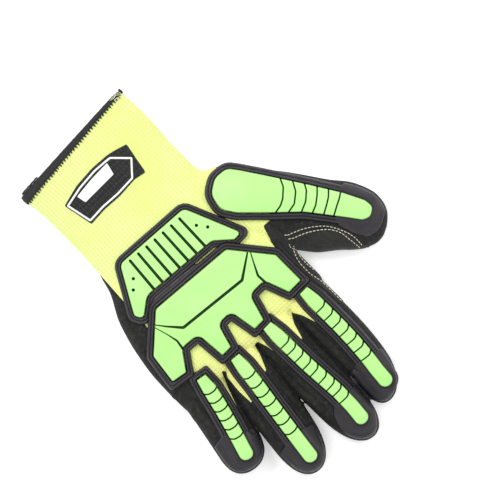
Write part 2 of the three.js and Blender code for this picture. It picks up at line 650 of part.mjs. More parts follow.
const patchCorners = [...onDigit(THUMB, PATCH_ON_THUMB), ...onHand(PATCH_ON_HAND)];
const patch = surface(patchCorners, PATCH_THICKNESS).intersect(aboveZ(PATCH_LIFT));
show('crotch_patch', mainBody(madeBefore().reduce((rest, around) => rest.subtract(around), patch)), 'suede');

export default glove;
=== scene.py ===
"""An impact glove for the right hand, palm down: its knit, dip, guards, hem, label and seams.

Shapes are worked out in millimetres with the cuff's end at Y 0, as the part is drawn, and are put in the
frame's place, in metres, when a piece is made.
"""
import math

import bpy
import numpy as np
from mathutils import Matrix, Vector
from mathutils.bvhtree import BVHTree
from mathutils.geometry import delaunay_2d_cdt


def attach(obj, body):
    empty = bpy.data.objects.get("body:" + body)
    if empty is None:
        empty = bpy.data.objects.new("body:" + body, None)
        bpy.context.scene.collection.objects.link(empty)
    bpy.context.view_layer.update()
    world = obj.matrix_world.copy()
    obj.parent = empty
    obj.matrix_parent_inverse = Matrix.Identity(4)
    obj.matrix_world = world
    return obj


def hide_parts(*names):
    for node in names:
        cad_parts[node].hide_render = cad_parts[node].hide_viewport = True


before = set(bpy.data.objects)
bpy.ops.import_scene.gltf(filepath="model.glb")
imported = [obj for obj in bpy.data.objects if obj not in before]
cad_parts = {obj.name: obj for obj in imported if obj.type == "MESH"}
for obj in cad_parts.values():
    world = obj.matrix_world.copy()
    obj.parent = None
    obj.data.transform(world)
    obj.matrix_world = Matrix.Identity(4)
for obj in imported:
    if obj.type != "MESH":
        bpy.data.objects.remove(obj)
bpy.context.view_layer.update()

# Sizes of the shell, in millimetres
HAND_LENGTH = 170.0
CUFF_WIDTH = 91.0
CUFF_HEIGHT = 16.0
PALM_HEIGHT = 25.0
PALM_EASE = 1.5
FINGER_GAP = 0.4
ORIGIN_ALONG = 0.62
WIDEST_AT = 0.42
SIDE_POWER = 0.8
TOP_POWER = 0.86
PRESS = 1.35
LINING_GAP = 1.7
DIP_LIFT = 0.35
BODY_GRAIN = 0.9

# Sizes of the knit
WALE = 2.4
RIB_HEIGHT = 0.2
COLUMN = WALE / 5
COURSE = 0.72
KNOT = 2.25
WALES_ROUND = 86
KNIT_END = 66.3

# Sizes of the guards
PAD_TOP = 4.8
PAD_FLOOR = 1.0
STRIP_HALF = 4.55
STRIP_ROOT_HALF = 3.45
STRIP_FLARE = 9.0
STRIP_BORDER = 4.3
PADDLE_THICK = 1.5
PATCH_THICK = 0.9

# Points round the hand and round a digit, round a section that is sampled finely, and places along them
HAND_POINTS, DIGIT_POINTS, RING_POINTS = 72, 48, 720
HAND_STATIONS, DIGIT_STATIONS, TIP_STATIONS = 56, 24, 20
TIP_FROM = 0.85
SKIN_ROUNDS = 6

# The grid of one millimetre that holds the back's height, and how the height is read from the skin
GRID_LOW, GRID_COUNT = np.array([-130.0, -20.0]), (226, 296)
OVERHEAD = 90.0
BLUR = 2.0
NO_SKIN = -9.0
BESIDE_HEIGHT = 8.0
BACK_LEAN = 0.12

METRE = 0.001
LOWEST = 0.00005
HAND_SHIFT = np.array([0.0, ORIGIN_ALONG * HAND_LENGTH, 0.0])

# In metres: the cloth's thread and row, the camera's film, distance, view and place, and the floor
CLOTH_THREAD, CLOTH_ROW = 0.0008, 0.0033
FILM_WIDTH, CAMERA_AWAY, VIEW_WIDTH = 36, 3.0, 0.315
CAMERA_PLACE = (-0.0339, 0.0202, 3.012)
FLOOR_HALF = 6
# Each light's place, size and power, and the surround's strength
LIGHTS = {"key": ((0.1, -1.0, 1.1), 0.6, 11), "fill": ((-0.9, 0.5, 1.2), 0.9, 5)}
SURROUND = 0.8
# The sockets of the node that mixes two colours: in, in, in and out
MIX_SHARE, MIX_FIRST, MIX_SECOND, MIX_COLOUR = 0, 6, 7, 2

HAND_SECTIONS = {
    "along": [0.0, 0.12, 0.27, 0.38, 0.47, 0.59, 0.71, 0.84, 0.93, 0.97, 1.0],
    "centre": [-0.01, -0.02, -0.014, -0.01, -0.005, 0.028, 0.042, 0.051, 0.053, 0.053, 0.053],
    "spread": [0.0, -0.02, -0.07, -0.04, 0.12, 0.55, 0.84, 0.99, 1.0, 1.0, 0.98],
    "swell": [0.0, 0.02, 0.12, 0.4, 0.72, 0.95, 1.0, 0.98, 0.72, 0.45, 0.05],
    "slant": [0.055, 0.045, 0.03, 0.01, 0.0, 0.0, 0.0, 0.0, 0.0, 0.0, 0.0],
}
FINGER_SECTIONS = {
    "along": [-0.22, 0.0, 0.36, 0.75, 0.87, 0.95, 0.985, 1.0, 1.008],
    "side": [0.0, 0.0, 0.0, 0.0, 0.0, 0.0, 0.0, 0.0, 0.0],
    "width": [0.78, 1.0, 1.0, 0.97, 0.86, 0.64, 0.43, 0.27, 0.06],
    "height": [0.72, 0.94, 1.0, 0.97, 0.88, 0.7, 0.5, 0.32, 0.08],
    "lift": [0.0, 0.0, 0.0, 0.0, 0.02, 0.08, 0.14, 0.22, 0.34],
}
THUMB_SECTIONS = {
    "along": [-0.14, 0.04, 0.22, 0.45, 0.65, 0.8, 0.9, 0.965, 0.99, 1.0, 1.006],
    "side": [0.2, 0.01, -0.02, -0.05, -0.06, -0.125, -0.125, -0.11, -0.105, -0.1, -0.1],
    "width": [0.5, 0.88, 1.02, 1.06, 1.04, 0.95, 0.82, 0.6, 0.42, 0.28, 0.06],
    "height": [0.66, 0.86, 1.0, 1.0, 0.96, 0.92, 0.82, 0.62, 0.45, 0.3, 0.08],
    "lift": [0.0, 0.0, 0.0, 0.0, 0.0, 0.0, 0.02, 0.08, 0.14, 0.2, 0.32],
}
FINGERS = {
    "index": dict(width=27.5, height=20.0, length=84.0, lean=-1.0, curl=0.32, belly=1.02, start=1.0),
    "middle": dict(width=28.5, height=21.0, length=93.0, lean=4.0, curl=-0.1, belly=1.12, start=1.0),
    "ring": dict(width=28.5, height=20.0, length=85.0, lean=9.3, curl=0.04, belly=1.12, start=1.0),
    "little": dict(width=30.5, height=18.5, length=61.0, lean=10.9, curl=0.05, belly=0.97, start=0.97),
}
THUMB = dict(width=44.0, height=23.0, length=118.0, lean=-34.5, curl=0.0, belly=1.0, start=0.47)
THUMB_ROOT = -0.295
# A finger guard's middle line and the places of its grooves along Y
STRIPS = {
    "index": dict(
        line=[(-39.6, 167.2), (-39.8, 182), (-39.9, 200), (-39.3, 215), (-38.4, 225), (-37, 235), (-35.9, 247.4)],
        grooves=[183, 190, 197, 204, 211, 217.7, 224.7]),
    "middle": dict(
        line=[(-7.9, 166.5), (-8.2, 182), (-8.5, 200), (-9.4, 215), (-10.2, 228), (-10.1, 236), (-8.5, 253.4)],
        grooves=[183, 188.8, 195.3, 202, 208.2, 215.2, 221.8, 227.3, 233.6]),
    "ring": dict(
        line=[(20.2, 166.1), (21.6, 180), (22.9, 190), (24.5, 200), (26.6, 215), (28.8, 230), (31.2, 247.7)],
        grooves=[182, 189.3, 196.4, 203.2, 210.6, 217.7, 225.2]),
    "little": dict(
        line=[(44.3, 160.2), (46, 170), (48.4, 180), (51, 190), (53.9, 200), (57, 210), (59.4, 218)],
        grooves=[171.8, 178.2, 184.3, 190.6, 196.8, 203.2]),
}

# Outlines as corners, in drawn millimetres: x, y and the corner's radius
KNUCKLE_PAD = [
    (-43, 139, 2), (-43, 161.5, 1), (-32.5, 161.5, 1), (-26.5, 145.3, 5.2), (-14, 145.3, 5.4),
    (-9, 162.5, 1), (-1, 162.5, 1), (2, 144.3, 5.2), (13, 144.3, 5.2), (17.5, 160, 1), (25, 160, 1),
    (26.5, 140, 5.2), (39.5, 138.8, 5.2), (48.5, 151.5, 1), (58.7, 149.7, 1), (56, 130, 3), (34, 110, 4),
    (-23.5, 114.7, 4),
]
WRIST_PAD = [
    (-37.8, 113.9, 3), (-31.6, 114.1, 2.5), (-21, 104.6, 7), (32, 100.2, 9), (43.6, 109, 3), (46.6, 103.6, 3),
    (30, 74.3, 5), (-22.8, 77.8, 5),
]
THUMB_PAD = [
    (-102, 164.2, 4.2), (-107.6, 160.8, 4), (-106.9, 154.5, 7), (-100.3, 141.3, 30), (-87.8, 121.3, 40),
    (-72.8, 98.3, 40), (-64, 85.2, 14), (-59.5, 79.2, 7), (-50, 78.2, 9), (-41.2, 83.8, 9), (-38.7, 94.5, 9),
    (-44.7, 103.4, 12), (-59.8, 118.4, 40), (-74.8, 132.7, 40), (-91, 153.8, 20), (-97.3, 162.3, 5),
]
# Creases as points with their widths: x, y, width
KNUCKLE_CREASES = [
    [(-34.5, 122.5, 0.5), (-31, 126, 0.9), (-17, 135.5, 1.7), (30, 130.5, 1.7), (37, 122.5, 0.9), (42, 116, 0.4)],
    [(-34, 125, 0.4), (-30, 132.5, 0.7), (-26, 140.5, 1.3), (-26.3, 147, 1.5)],
    [(43, 116.5, 0.3), (40, 127, 0.5), (38.6, 133.5, 1.1), (39.7, 140.5, 1.5)],
]
# Folds in the skin as points with their widths and depths: x, y, width, depth
FOLDS = [
    [(47, 208, 0.9, 0.6), (50, 196, 1.4, 1.0), (53, 182, 1.2, 0.8)],
    [(40, 238, 0.9, 0.4), (39, 220, 1.3, 0.9), (36, 200, 1.3, 0.9), (35.5, 190, 0.9, 0.4)],
    [(59, 196, 0.9, 0.5), (57, 184, 1.3, 0.9), (58, 168, 1.3, 0.8), (60, 158, 0.9, 0.3)],
    [(64, 176, 0.9, 0.4), (60, 171, 1.1, 0.9), (56, 168, 0.8, 0.4)],
    [(65, 160, 0.9, 0.4), (61, 156, 1.1, 0.8), (55, 155, 0.8, 0.4)],
    [(3, 232, 1.0, 0.4), (4.5, 215, 1.4, 0.9), (5, 198, 1.3, 0.9), (4.5, 182, 1.0, 0.4)],
    [(-28, 226, 1.0, 0.4), (-28.5, 210, 1.4, 0.9), (-28.3, 195, 1.3, 0.8), (-27, 182, 1.0, 0.4)],
    [(16, 226, 1.0, 0.4), (14, 212, 1.3, 0.8), (13.5, 196, 1.0, 0.4)],
    [(-19.5, 226, 0.9, 0.3), (-19.3, 208, 1.1, 0.7), (-19.5, 192, 0.8, 0.4)],
    [(62, 146, 0.9, 0.3), (58, 128, 1.3, 0.7), (53, 110, 1.1, 0.7), (49, 98, 0.8, 0.3)],
    [(-24.4, 173, 0.8, 0.5), (-24, 185, 0.9, 1.1), (-23, 205, 0.9, 1.1), (-22.5, 225, 0.8, 0.6)],
    [(5, 171, 0.8, 0.5), (6, 182, 0.9, 1.1), (8, 198, 0.9, 0.9), (10, 210, 0.8, 0.4)],
    [(33, 169, 0.8, 0.5), (36, 180, 0.9, 1.1), (39, 192, 0.9, 1.0), (42.5, 205, 0.8, 0.4)],
    [(-58, 141, 0.9, 0.4), (-56.3, 133, 1.2, 1.0), (-55, 126, 1.1, 0.9), (-54.5, 121, 0.8, 0.4)],
    [(-79, 140, 0.8, 0.2), (-68, 134.5, 1.0, 0.6), (-60, 132.5, 0.9, 0.5)],
    [(-50.5, 134, 0.8, 0.3), (-49.7, 142, 0.9, 0.6), (-50, 152, 0.8, 0.2)],
]


def mix(a, b, share):
    return a + (b - a) * share


def eased(value, low, high):
    share = np.clip((value - low) / (high - low), 0.0, 1.0)
    return share * share * (3 - 2 * share)


def unit(vectors):
    return vectors / np.linalg.norm(vectors, axis=-1, keepdims=True)


def run_along(line):
    """The distance along a line up to each of its points."""
    return np.concatenate([[0], np.cumsum(np.linalg.norm(np.diff(line, axis=0), axis=1))])


def closed_up(line):
    """A closed line with its first point again at its end."""
    return np.vstack([line, line[:1]])


def hermite(t, gap, low, high, low_slope, high_slope):
    """A smooth curve's value a share of the way between two points, from the slopes there."""
    return (
        (1 + 2 * t) * (1 - t) ** 2 * low + t * (1 - t) ** 2 * gap * low_slope
        + t * t * (3 - 2 * t) * high + t * t * (t - 1) * gap * high_slope)


def through(xs, ys, at):
    """A curve through the given values that doesn't overshoot them."""
    xs, ys, at = (np.asarray(values, float) for values in (xs, ys, at))
    gap = np.diff(xs)
    rate = np.diff(ys) / gap
    slope = np.zeros_like(ys)
    slope[0], slope[-1] = rate[0], rate[-1]
    near, far = 2 * gap[1:] + gap[:-1], gap[1:] + 2 * gap[:-1]
    same_way = rate[:-1] * rate[1:] > 0
    before, after = (np.where(same_way, rates, 1.0) for rates in (rate[:-1], rate[1:]))
    slope[1:-1] = np.where(same_way, (near + far) / (near / before + far / after), 0.0)
    i = np.clip(np.searchsorted(xs, at) - 1, 0, len(gap) - 1)
    return hermite((at - xs[i]) / gap[i], gap[i], ys[i], ys[i + 1], slope[i], slope[i + 1])


def curved(line, step=0.6):
    """A smooth line through a few points."""
    line = np.asarray(line, float)
    run = run_along(line[:, :2])
    at = np.linspace(0, run[-1], max(6, int(run[-1] / step)))
    k = np.clip(np.searchsorted(run, at) - 1, 0, len(run) - 2)
    gap = (run[k + 1] - run[k])[:, None]
    slopes = np.gradient(line, run, axis=0)
    return hermite((at - run[k])[:, None] / gap, gap, line[k], line[k + 1], slopes[k], slopes[k + 1])


# Plan measures that follow from the sizes
finger_span = sum(f["width"] for f in FINGERS.values()) + FINGER_GAP * (len(FINGERS) - 1)
PALM_WIDTH = finger_span + 2 * PALM_EASE
root_edge = HAND_SECTIONS["centre"][-1] * PALM_WIDTH - finger_span / 2
for finger in FINGERS.values():
    finger["root"] = np.array([root_edge + finger["width"] / 2, finger["start"] * HAND_LENGTH])
    finger["sections"] = FINGER_SECTIONS
    root_edge += finger["width"] + FINGER_GAP
THUMB["root"] = np.array([THUMB_ROOT * PALM_WIDTH, THUMB["start"] * HAND_LENGTH])
THUMB["sections"] = THUMB_SECTIONS


def section(width, height, grow, count):
    """A section's points across and up, grown on every side, flat underneath."""
    angle = 2 * np.pi * np.arange(count) / count
    half, top, bottom = width / 2 + grow, height + grow, -grow
    widest = mix(bottom, top, WIDEST_AT)
    turn = np.cos(angle)
    rise = np.abs(np.sin(angle)) ** TOP_POWER
    lower = np.maximum(bottom, mix(widest, bottom, rise * PRESS))
    across = half * np.sign(turn) * np.abs(turn) ** SIDE_POWER
    return across, np.where(angle <= np.pi, mix(widest, top, rise), lower)


def row_at(rows, along):
    """The values of a table of sections at a place between them."""
    return {name: float(through(rows["along"], values, along)) for name, values in rows.items()}


def hand_ring(along, grow=0.0, count=HAND_POINTS):
    row = row_at(HAND_SECTIONS, along)
    width = mix(CUFF_WIDTH, PALM_WIDTH, row["spread"])
    across, up = section(width, mix(CUFF_HEIGHT, PALM_HEIGHT, row["swell"]), grow, count)
    x = row["centre"] * PALM_WIDTH + across
    return np.column_stack([x, along * HAND_LENGTH + row["slant"] * x, up])


def digit_ring(digit, along):
    row = row_at(digit["sections"], along)
    width, height, lean = digit["width"], digit["height"], math.radians(digit["lean"])
    ahead, right = np.array([math.sin(lean), math.cos(lean)]), np.array([math.cos(lean), -math.sin(lean)])
    side = row["side"] + digit["curl"] * max(0.0, along) ** 3
    middle = digit["root"] + ahead * along * digit["length"] + right * side * width
    swell = mix(1, digit["belly"], math.sin(math.pi * min(max(along, 0.0), 1.0)))
    across, up = section(width * row["width"] * swell, height * row["height"], 0.0, DIGIT_POINTS)
    return np.column_stack([middle + across[:, None] * right, up + row["lift"] * height])


def ring_faces(count, rings, closed=True):
    """The quads from each ring of points to the next, and from the last ring to the first if closed."""
    i = np.arange(count)
    j = (i + 1) % count
    every = []
    for r in range(rings if closed else rings - 1):
        here, there = r * count, (r + 1) % rings * count
        every.append(np.column_stack([here + i, here + j, there + j, there + i]))
    return np.vstack(every)


def grid_faces(count, rows, closed=False):
    """The triangles between rows of points, whose last points meet the first if closed."""
    i = np.arange(count if closed else count - 1)
    every = []
    for r in range(rows - 1):
        a, b = r * count + i, r * count + (i + 1) % count
        every += [np.column_stack([a, b, b + count]), np.column_stack([a, b + count, a + count])]
    return np.vstack(every)


def lofted(rings, start=0):
    """A closed tube through rings of equally many points, as points and faces."""
    count = len(rings[0])
    quads = ring_faces(count, len(rings), closed=False)[:, [0, 3, 2, 1]] + start
    last = start + (len(rings) - 1) * count
    ends = [list(range(start, start + count)), list(range(last + count - 1, last - 1, -1))]
    return np.vstack(rings), quads.tolist() + ends


def mesh_of(name, points, faces):
    mesh = bpy.data.meshes.new(name)
    mesh.from_pydata(np.asarray(points).tolist(), [], [tuple(int(i) for i in face) for face in faces])
    mesh.update()
    return mesh


def object_of(name, data):
    thing = bpy.data.objects.new(name, data)
    bpy.context.scene.collection.objects.link(thing)
    return thing


def settled(thing):
    """The object's mesh with its modifiers applied; the object itself is removed."""
    evaluated = thing.evaluated_get(bpy.context.evaluated_depsgraph_get())
    mesh = bpy.data.meshes.new_from_object(evaluated)
    bpy.data.objects.remove(thing)
    return mesh


def numbers_of(items, key, kind=float, each=1):
    """The values that a mesh's points, corners or triangles have."""
    values = np.empty(len(items) * each, kind)
    items.foreach_get(key, values)
    return values.reshape(-1, each) if each > 1 else values


def point_normals(points, triangles):
    a, b, c = (points[triangles[:, i]] for i in range(3))
    face = np.cross(b - a, c - a)
    total = np.zeros_like(points)
    for i in range(3):
        for axis in range(3):
            total[:, axis] += np.bincount(triangles[:, i], face[:, axis], len(points))
    return total / np.maximum(np.linalg.norm(total, axis=1, keepdims=True), 1e-9)


def whole_form():
    """The hand and its digits as one closed skin: its points and triangles."""
    points, faces = lofted([hand_ring(a) for a in np.linspace(0.0, 1.0, HAND_STATIONS)])
    near_tip = 1 - (1 - np.linspace(0, 1, TIP_STATIONS)) ** 2
    for digit in [THUMB, *FINGERS.values()]:
        first, *_, last = digit["sections"]["along"]
        steps = np.concatenate([
            np.linspace(first, TIP_FROM - 0.01, DIGIT_STATIONS), mix(TIP_FROM + 0.01, last, near_tip)])
        more, more_faces = lofted([digit_ring(digit, a) for a in steps], len(points))
        points, faces = np.vstack([points, more]), faces + more_faces
    form = object_of("form", mesh_of("form", points, faces))
    remesh = form.modifiers.new("skin", "REMESH")
    remesh.mode, remesh.voxel_size = "VOXEL", BODY_GRAIN
    smooth = form.modifiers.new("smooth", "SMOOTH")
    smooth.factor, smooth.iterations = 0.5, SKIN_ROUNDS
    mesh = settled(form)
    mesh.calc_loop_triangles()
    return numbers_of(mesh.vertices, "co", each=3), numbers_of(mesh.loop_triangles, "vertices", int, 3)


# Plan outlines


def rounded(corners, out=0.0, step=0.5):
    """A closed outline through corners with radii, moved outwards by a distance, turning to the left.

    It has as many points whatever the distance is, and sharp corners stay nearly sharp.
    """
    plan, radii = np.array([c[:2] for c in corners], float), [c[2] for c in corners]
    following = np.roll(plan, -1, axis=0)
    if np.sum(plan[:, 0] * following[:, 1] - following[:, 0] * plan[:, 1]) < 0:
        plan, radii = plan[::-1], radii[::-1]
    edges = np.roll(plan, -1, axis=0) - plan
    long = np.linalg.norm(edges, axis=1)
    ahead = edges / long[:, None]
    outward = np.column_stack([ahead[:, 1], -ahead[:, 0]])
    arcs, cuts = [], []
    for i, radius in enumerate(radii):
        before, after = ahead[i - 1], ahead[i]
        bend = math.atan2(before[0] * after[1] - before[1] * after[0], before @ after)
        half = max(math.tan(abs(bend) / 2), 1e-6)
        radius = min(radius, 0.48 * min(long[i - 1], long[i]) / half)
        cuts.append(radius * half)
        if bend > 0:
            grown = radius + out * (np.clip((radius - 0.5) / 3, 0.2, 1) if out > 0 else 1)
        else:
            grown = radius - out
        grown = max(grown, 0.15)
        corner = plan[i] + (outward[i - 1] + outward[i]) / (1 + outward[i - 1] @ outward[i]) * out
        turn = np.linspace(0, abs(bend), max(3, int(abs(bend) * (radius + 1) / step) + 1))[:, None]
        side = np.array([-before[1], before[0]]) * (1 if bend > 0 else -1)
        arcs.append(corner - before * grown * half + grown * (np.sin(turn) * before + (1 - np.cos(turn)) * side))
    points = []
    for i, arc in enumerate(arcs):
        following = (i + 1) % len(arcs)
        count = max(2, int(round((long[i] - cuts[i] - cuts[following]) / step)))
        share = np.arange(1, count)[:, None] / count
        points += [arc, arc[-1] * (1 - share) + arcs[following][0] * share]
    return np.vstack(points)


def evenly(line, step, closed=True):
    """The same line with its points a step apart."""
    line = closed_up(line) if closed else np.asarray(line, float)
    gaps = np.linalg.norm(np.diff(line, axis=0), axis=1)
    line = line[np.concatenate([[True], gaps > 1e-6])]
    run = run_along(line)
    at = np.linspace(0, run[-1], max(3, int(round(run[-1] / step))) + 1)
    even = np.column_stack([np.interp(at, run, axis) for axis in line.T])
    return even[:-1] if closed else even


def ahead_and_left(line):
    """The directions along a line and to its left, at each of its points."""
    ahead = unit(np.gradient(line, axis=0))
    return ahead, np.column_stack([-ahead[:, 1], ahead[:, 0]])


def band(line, half):
    """The closed outline of a line that has half widths along it, with round ends."""
    if np.linalg.norm(line[-1] - line[0]) < 0.3:
        angle = np.linspace(0, 2 * np.pi, 20, endpoint=False)[:, None]
        return line.mean(axis=0) + half.max() * np.hstack([np.cos(angle), np.sin(angle)])
    ahead, side = ahead_and_left(line)
    angle = np.linspace(0, np.pi, 7)[1:-1, None]
    last = line[-1] + half[-1] * (np.cos(angle) * side[-1] + np.sin(angle) * ahead[-1])
    first = line[0] - half[0] * (np.cos(angle) * side[0] + np.sin(angle) * ahead[0])
    left, right = line + side * half[:, None], line - side * half[:, None]
    return np.vstack([left, last, right[::-1], first])


def nearest(plan, line, closed=False, halves=None):
    """How far plan points are from a line, less the line's own half widths where it has them."""
    line = np.asarray(line, float)
    line = closed_up(line) if closed else line
    best = np.full(len(plan), 1e9)
    for i, (start, end) in enumerate(zip(line[:-1], line[1:])):
        along = end - start
        share = np.clip((plan - start) @ along / max(along @ along, 1e-12), 0, 1)
        away = np.linalg.norm(plan - start - share[:, None] * along, axis=1)
        if halves is not None:
            away = away - mix(halves[i], halves[i + 1], share)
        best = np.minimum(best, away)
    return best


def within(plan, loop):
    """Whether plan points lie inside a closed outline."""
    inside = np.zeros(len(plan), bool)
    x, y = plan.T
    for (ax, ay), (bx, by) in zip(loop, np.roll(loop, -1, axis=0)):
        crosses = (ay > y) != (by > y)
        inside ^= crosses & (x < ax + (bx - ax) * (y - ay) / (by - ay if by != ay else 1e-12))
    return inside


def signed(plan, loop):
    """Distance to an outline, positive inside it."""
    return np.where(within(plan, loop), 1, -1) * nearest(plan, loop, closed=True)


def only_used(rows, triangles):
    """The same mesh without the rows that no triangle has."""
    used = np.unique(triangles)
    renumber = np.zeros(len(rows), int)
    renumber[used] = np.arange(len(used))
    return rows[used], renumber[triangles]


def clipped(rows, triangles, keep):
    """The part of a mesh where keep is positive, cut along its edge. Rows are points with other values."""
    inside = keep > 0
    count = inside[triangles].sum(axis=1)

    def lead(some, want):
        first = np.argmax(inside[some] == want, axis=1)
        return np.take_along_axis(some, (first[:, None] + np.arange(3)) % 3, axis=1)

    one, two = lead(triangles[count == 1], True), lead(triangles[count == 2], False)
    pairs = [np.sort(some[:, [0, k]], axis=1) for some in (one, two) for k in (1, 2)]
    edges, index = np.unique(np.vstack(pairs), axis=0, return_inverse=True)
    a, b = edges.T
    share = (keep[a] / np.where(keep[a] == keep[b], 1.0, keep[a] - keep[b]))[:, None]
    split = np.cumsum([len(one), len(one), len(two)])
    in_first, in_second, out_first, out_second = np.split(index.reshape(-1) + len(rows), split)
    new_triangles = [
        triangles[count == 3],
        np.column_stack([one[:, 0], in_first, in_second]),
        np.column_stack([out_first, two[:, 1], two[:, 2]]),
        np.column_stack([out_first, two[:, 2], out_second]),
    ]
    return only_used(np.vstack([rows, rows[a] * (1 - share) + rows[b] * share]), np.vstack(new_triangles))


def sides_of(triangles):
    """The directed sides of triangles: all first sides, all second, all third."""
    return np.vstack([triangles[:, [0, 1]], triangles[:, [1, 2]], triangles[:, [2, 0]]])


def edge_pairs(triangles):
    """The directed edges that only one triangle has."""
    directed = sides_of(triangles)
    _, index, counts = np.unique(np.sort(directed, axis=1), axis=0, return_inverse=True, return_counts=True)
    return directed[counts[index.reshape(-1)] == 1]


def halved(rows, triangles):
    """The same mesh with each triangle parted into four."""
    edges, index = np.unique(np.sort(sides_of(triangles), axis=1), axis=0, return_inverse=True)
    middle = (rows[edges[:, 0]] + rows[edges[:, 1]]) / 2
    ab, bc, ca = index.reshape(3, -1) + len(rows)
    a, b, c = triangles.T
    parts = [(a, ab, ca), (ab, b, bc), (ca, bc, c), (ab, bc, ca)]
    return np.vstack([rows, middle]), np.vstack([np.column_stack(part) for part in parts])


def fold_depths(points, normals):
    """How far the skin moves for its folds: down beside each line and slightly up along its left."""
    moved = np.zeros(len(points))
    for fold in FOLDS:
        line = curved(fold, 2.0)
        close = (normals[:, 2] > 0) & (nearest(points[:, :2], np.array(fold)[:, :2]) < 7)
        plan = points[close, :2]
        away = np.full(len(plan), 1e9)
        side, width, depth = np.zeros(len(plan)), np.ones(len(plan)), np.zeros(len(plan))
        for a, b in zip(line[:-1], line[1:]):
            along = (b - a)[:2]
            share = np.clip((plan - a[:2]) @ along / (along @ along), 0, 1)
            off = plan - a[:2] - share[:, None] * along
            distance = np.linalg.norm(off, axis=1)
            nearer = distance < away
            away[nearer] = distance[nearer]
            side[nearer] = (np.sign(along[0] * off[:, 1] - along[1] * off[:, 0]) * distance)[nearer]
            width[nearer] = mix(a[2], b[2], share)[nearer]
            depth[nearer] = mix(a[3], b[3], share)[nearer]
        dent = np.exp(-((side / width) ** 2))
        swell = np.exp(-(((side - 2.2 * width) / (1.3 * width)) ** 2))
        moved[close] += depth * (0.55 * swell - dent)
    return moved


# The whole skin with its folds, and with the flare of the knit at the thumb's root
body_points, body_triangles = whole_form()
body_normals = point_normals(body_points, body_triangles)
flare = 2.4 * np.exp(-(((body_points[:, 1] - 71) / 5.5) ** 2)) * eased(-body_points[:, 0], 38, 50)
body_points[:, 0] -= flare
body_points = body_points + body_normals * fold_depths(body_points, body_normals)[:, None]
body_normals = point_normals(body_points, body_triangles)
body_tree = BVHTree.FromPolygons(body_points.tolist(), body_triangles.tolist())


def struck(plan):
    """Where the skin is hit from straight above each plan point, as a place and a normal, or as nothing."""
    down = Vector((0, 0, -1))
    return [body_tree.ray_cast(Vector((x, y, OVERHEAD)), down)[:2] for x, y in np.asarray(plan).tolist()]


def skin_heights(plan):
    """The height of the glove's skin over plan points, and not a number where there is none."""
    return np.array([np.nan if place is None else place.z for place, _ in struck(plan)])


def on_skin(plan, lift):
    """Plan points put on the glove's own skin, a distance out of it. Those beside the glove are left out."""
    return np.array([tuple(place + normal * lift) for place, normal in struck(plan) if place is not None])


def blurred(values):
    reach = int(3 * BLUR) + 1
    kernel = np.exp(-0.5 * (np.arange(-reach, reach + 1) / BLUR) ** 2)
    kernel /= kernel.sum()
    for axis in (0, 1):
        values = np.apply_along_axis(lambda line: np.convolve(line, kernel, mode="same"), axis, values)
    return values


# The back's height above the table, smoothed and carried on beyond the outline, on a grid of one millimetre
raw_heights = skin_heights(GRID_LOW + np.indices(GRID_COUNT).reshape(2, -1).T).reshape(GRID_COUNT)
known = np.isfinite(raw_heights)
weight = blurred(known.astype(float))
near_heights = blurred(np.where(known, raw_heights, 0.0)) / np.maximum(weight, 1e-9)
back_heights = np.where(weight > 1e-4, near_heights, BESIDE_HEIGHT)


def height_at(plan):
    """The smoothed back's height at plan points."""
    place = plan - GRID_LOW
    i = np.clip(np.floor(place).astype(int), 0, np.array(GRID_COUNT) - 2)
    u, v = np.clip(place - i, 0.0, 1.0).T
    a, b = i.T
    low, high = (mix(back_heights[a, b + k], back_heights[a + 1, b + k], u) for k in (0, 1))
    return mix(low, high, v)


def laid(plan, lift):
    """Plan points put above the glove's back, leaning partly outwards where it slopes."""
    plan = np.asarray(plan, float)
    slope = np.column_stack([height_at(plan + step) - height_at(plan - step) for step in np.eye(2)]) / 2
    away = unit(np.column_stack([-slope * BACK_LEAN, np.ones(len(plan))]))
    return np.column_stack([plan, height_at(plan)]) + away * np.asarray(lift, float).reshape(-1, 1)


def sheet(top, under, faces, shade):
    """A closed sheet whose two sides have the same faces: its points, faces and painted shade, full on its lower side.
    """
    n = len(top)
    walls = [(a + n, b + n, b, a) for a, b in edge_pairs(faces).tolist()]
    every = faces.tolist() + walls + (faces[:, ::-1] + n).tolist()
    return np.vstack([top, under]), every, np.concatenate([shade, np.ones(n)])


def skin_over(outline, thick, steep=-1.0, lowest=-1.0, around=None):
    """A closed sheet on the glove's own skin inside a plan outline: its points, faces and painted shade.

    It leaves out skin steeper than the given slope and skin lower than the given height, and it rises
    towards the outline that it runs around. Its painted shade darkens its edge and, round an outline,
    the strip beside that outline and its slopes; round an outline it is also a little darker all over.
    """
    low, high = outline.min(axis=0) - 1, outline.max(axis=0) + 1
    close = ((body_points[:, :2] > low) & (body_points[:, :2] < high)).all(axis=1)
    keep = np.full(len(body_points), NO_SKIN)
    keep[close] = signed(body_points[close, :2], outline)
    keep = np.minimum(keep, (body_normals[:, 2] - steep) * 4)
    keep = np.minimum(keep, body_points[:, 2] - lowest)
    some = body_triangles[(keep[body_triangles] > 0).any(axis=1)]
    rows, faces = halved(*clipped(np.column_stack([body_points, body_normals, keep]), some, keep))
    skin, away, room = rows[:, :3], rows[:, 3:6], rows[:, 6]
    lift = thick * (0.25 + 0.75 * eased(room, 0.0, 0.9)) - 0.22 * np.exp(-(((room - 1.7) / 0.35) ** 2))
    # Painted shade along the sheet's edge.
    shade = 1 - eased(room, 0.0, 0.7)
    if around is not None:
        beside = -signed(skin[:, :2], around)
        lift = lift + 1.5 * (1 - eased(beside, 0.5, 6.5))
        # Painted shade beside the outline and on the slopes, and a little darker all over.
        shade = np.maximum(np.maximum(shade, 1 - eased(beside, 0.4, 0.9)), 0.17 + 0.5 * (1 - away[:, 2]))
    return sheet(skin + away * lift[:, None], skin - away * 0.3, faces, shade)


# Pieces


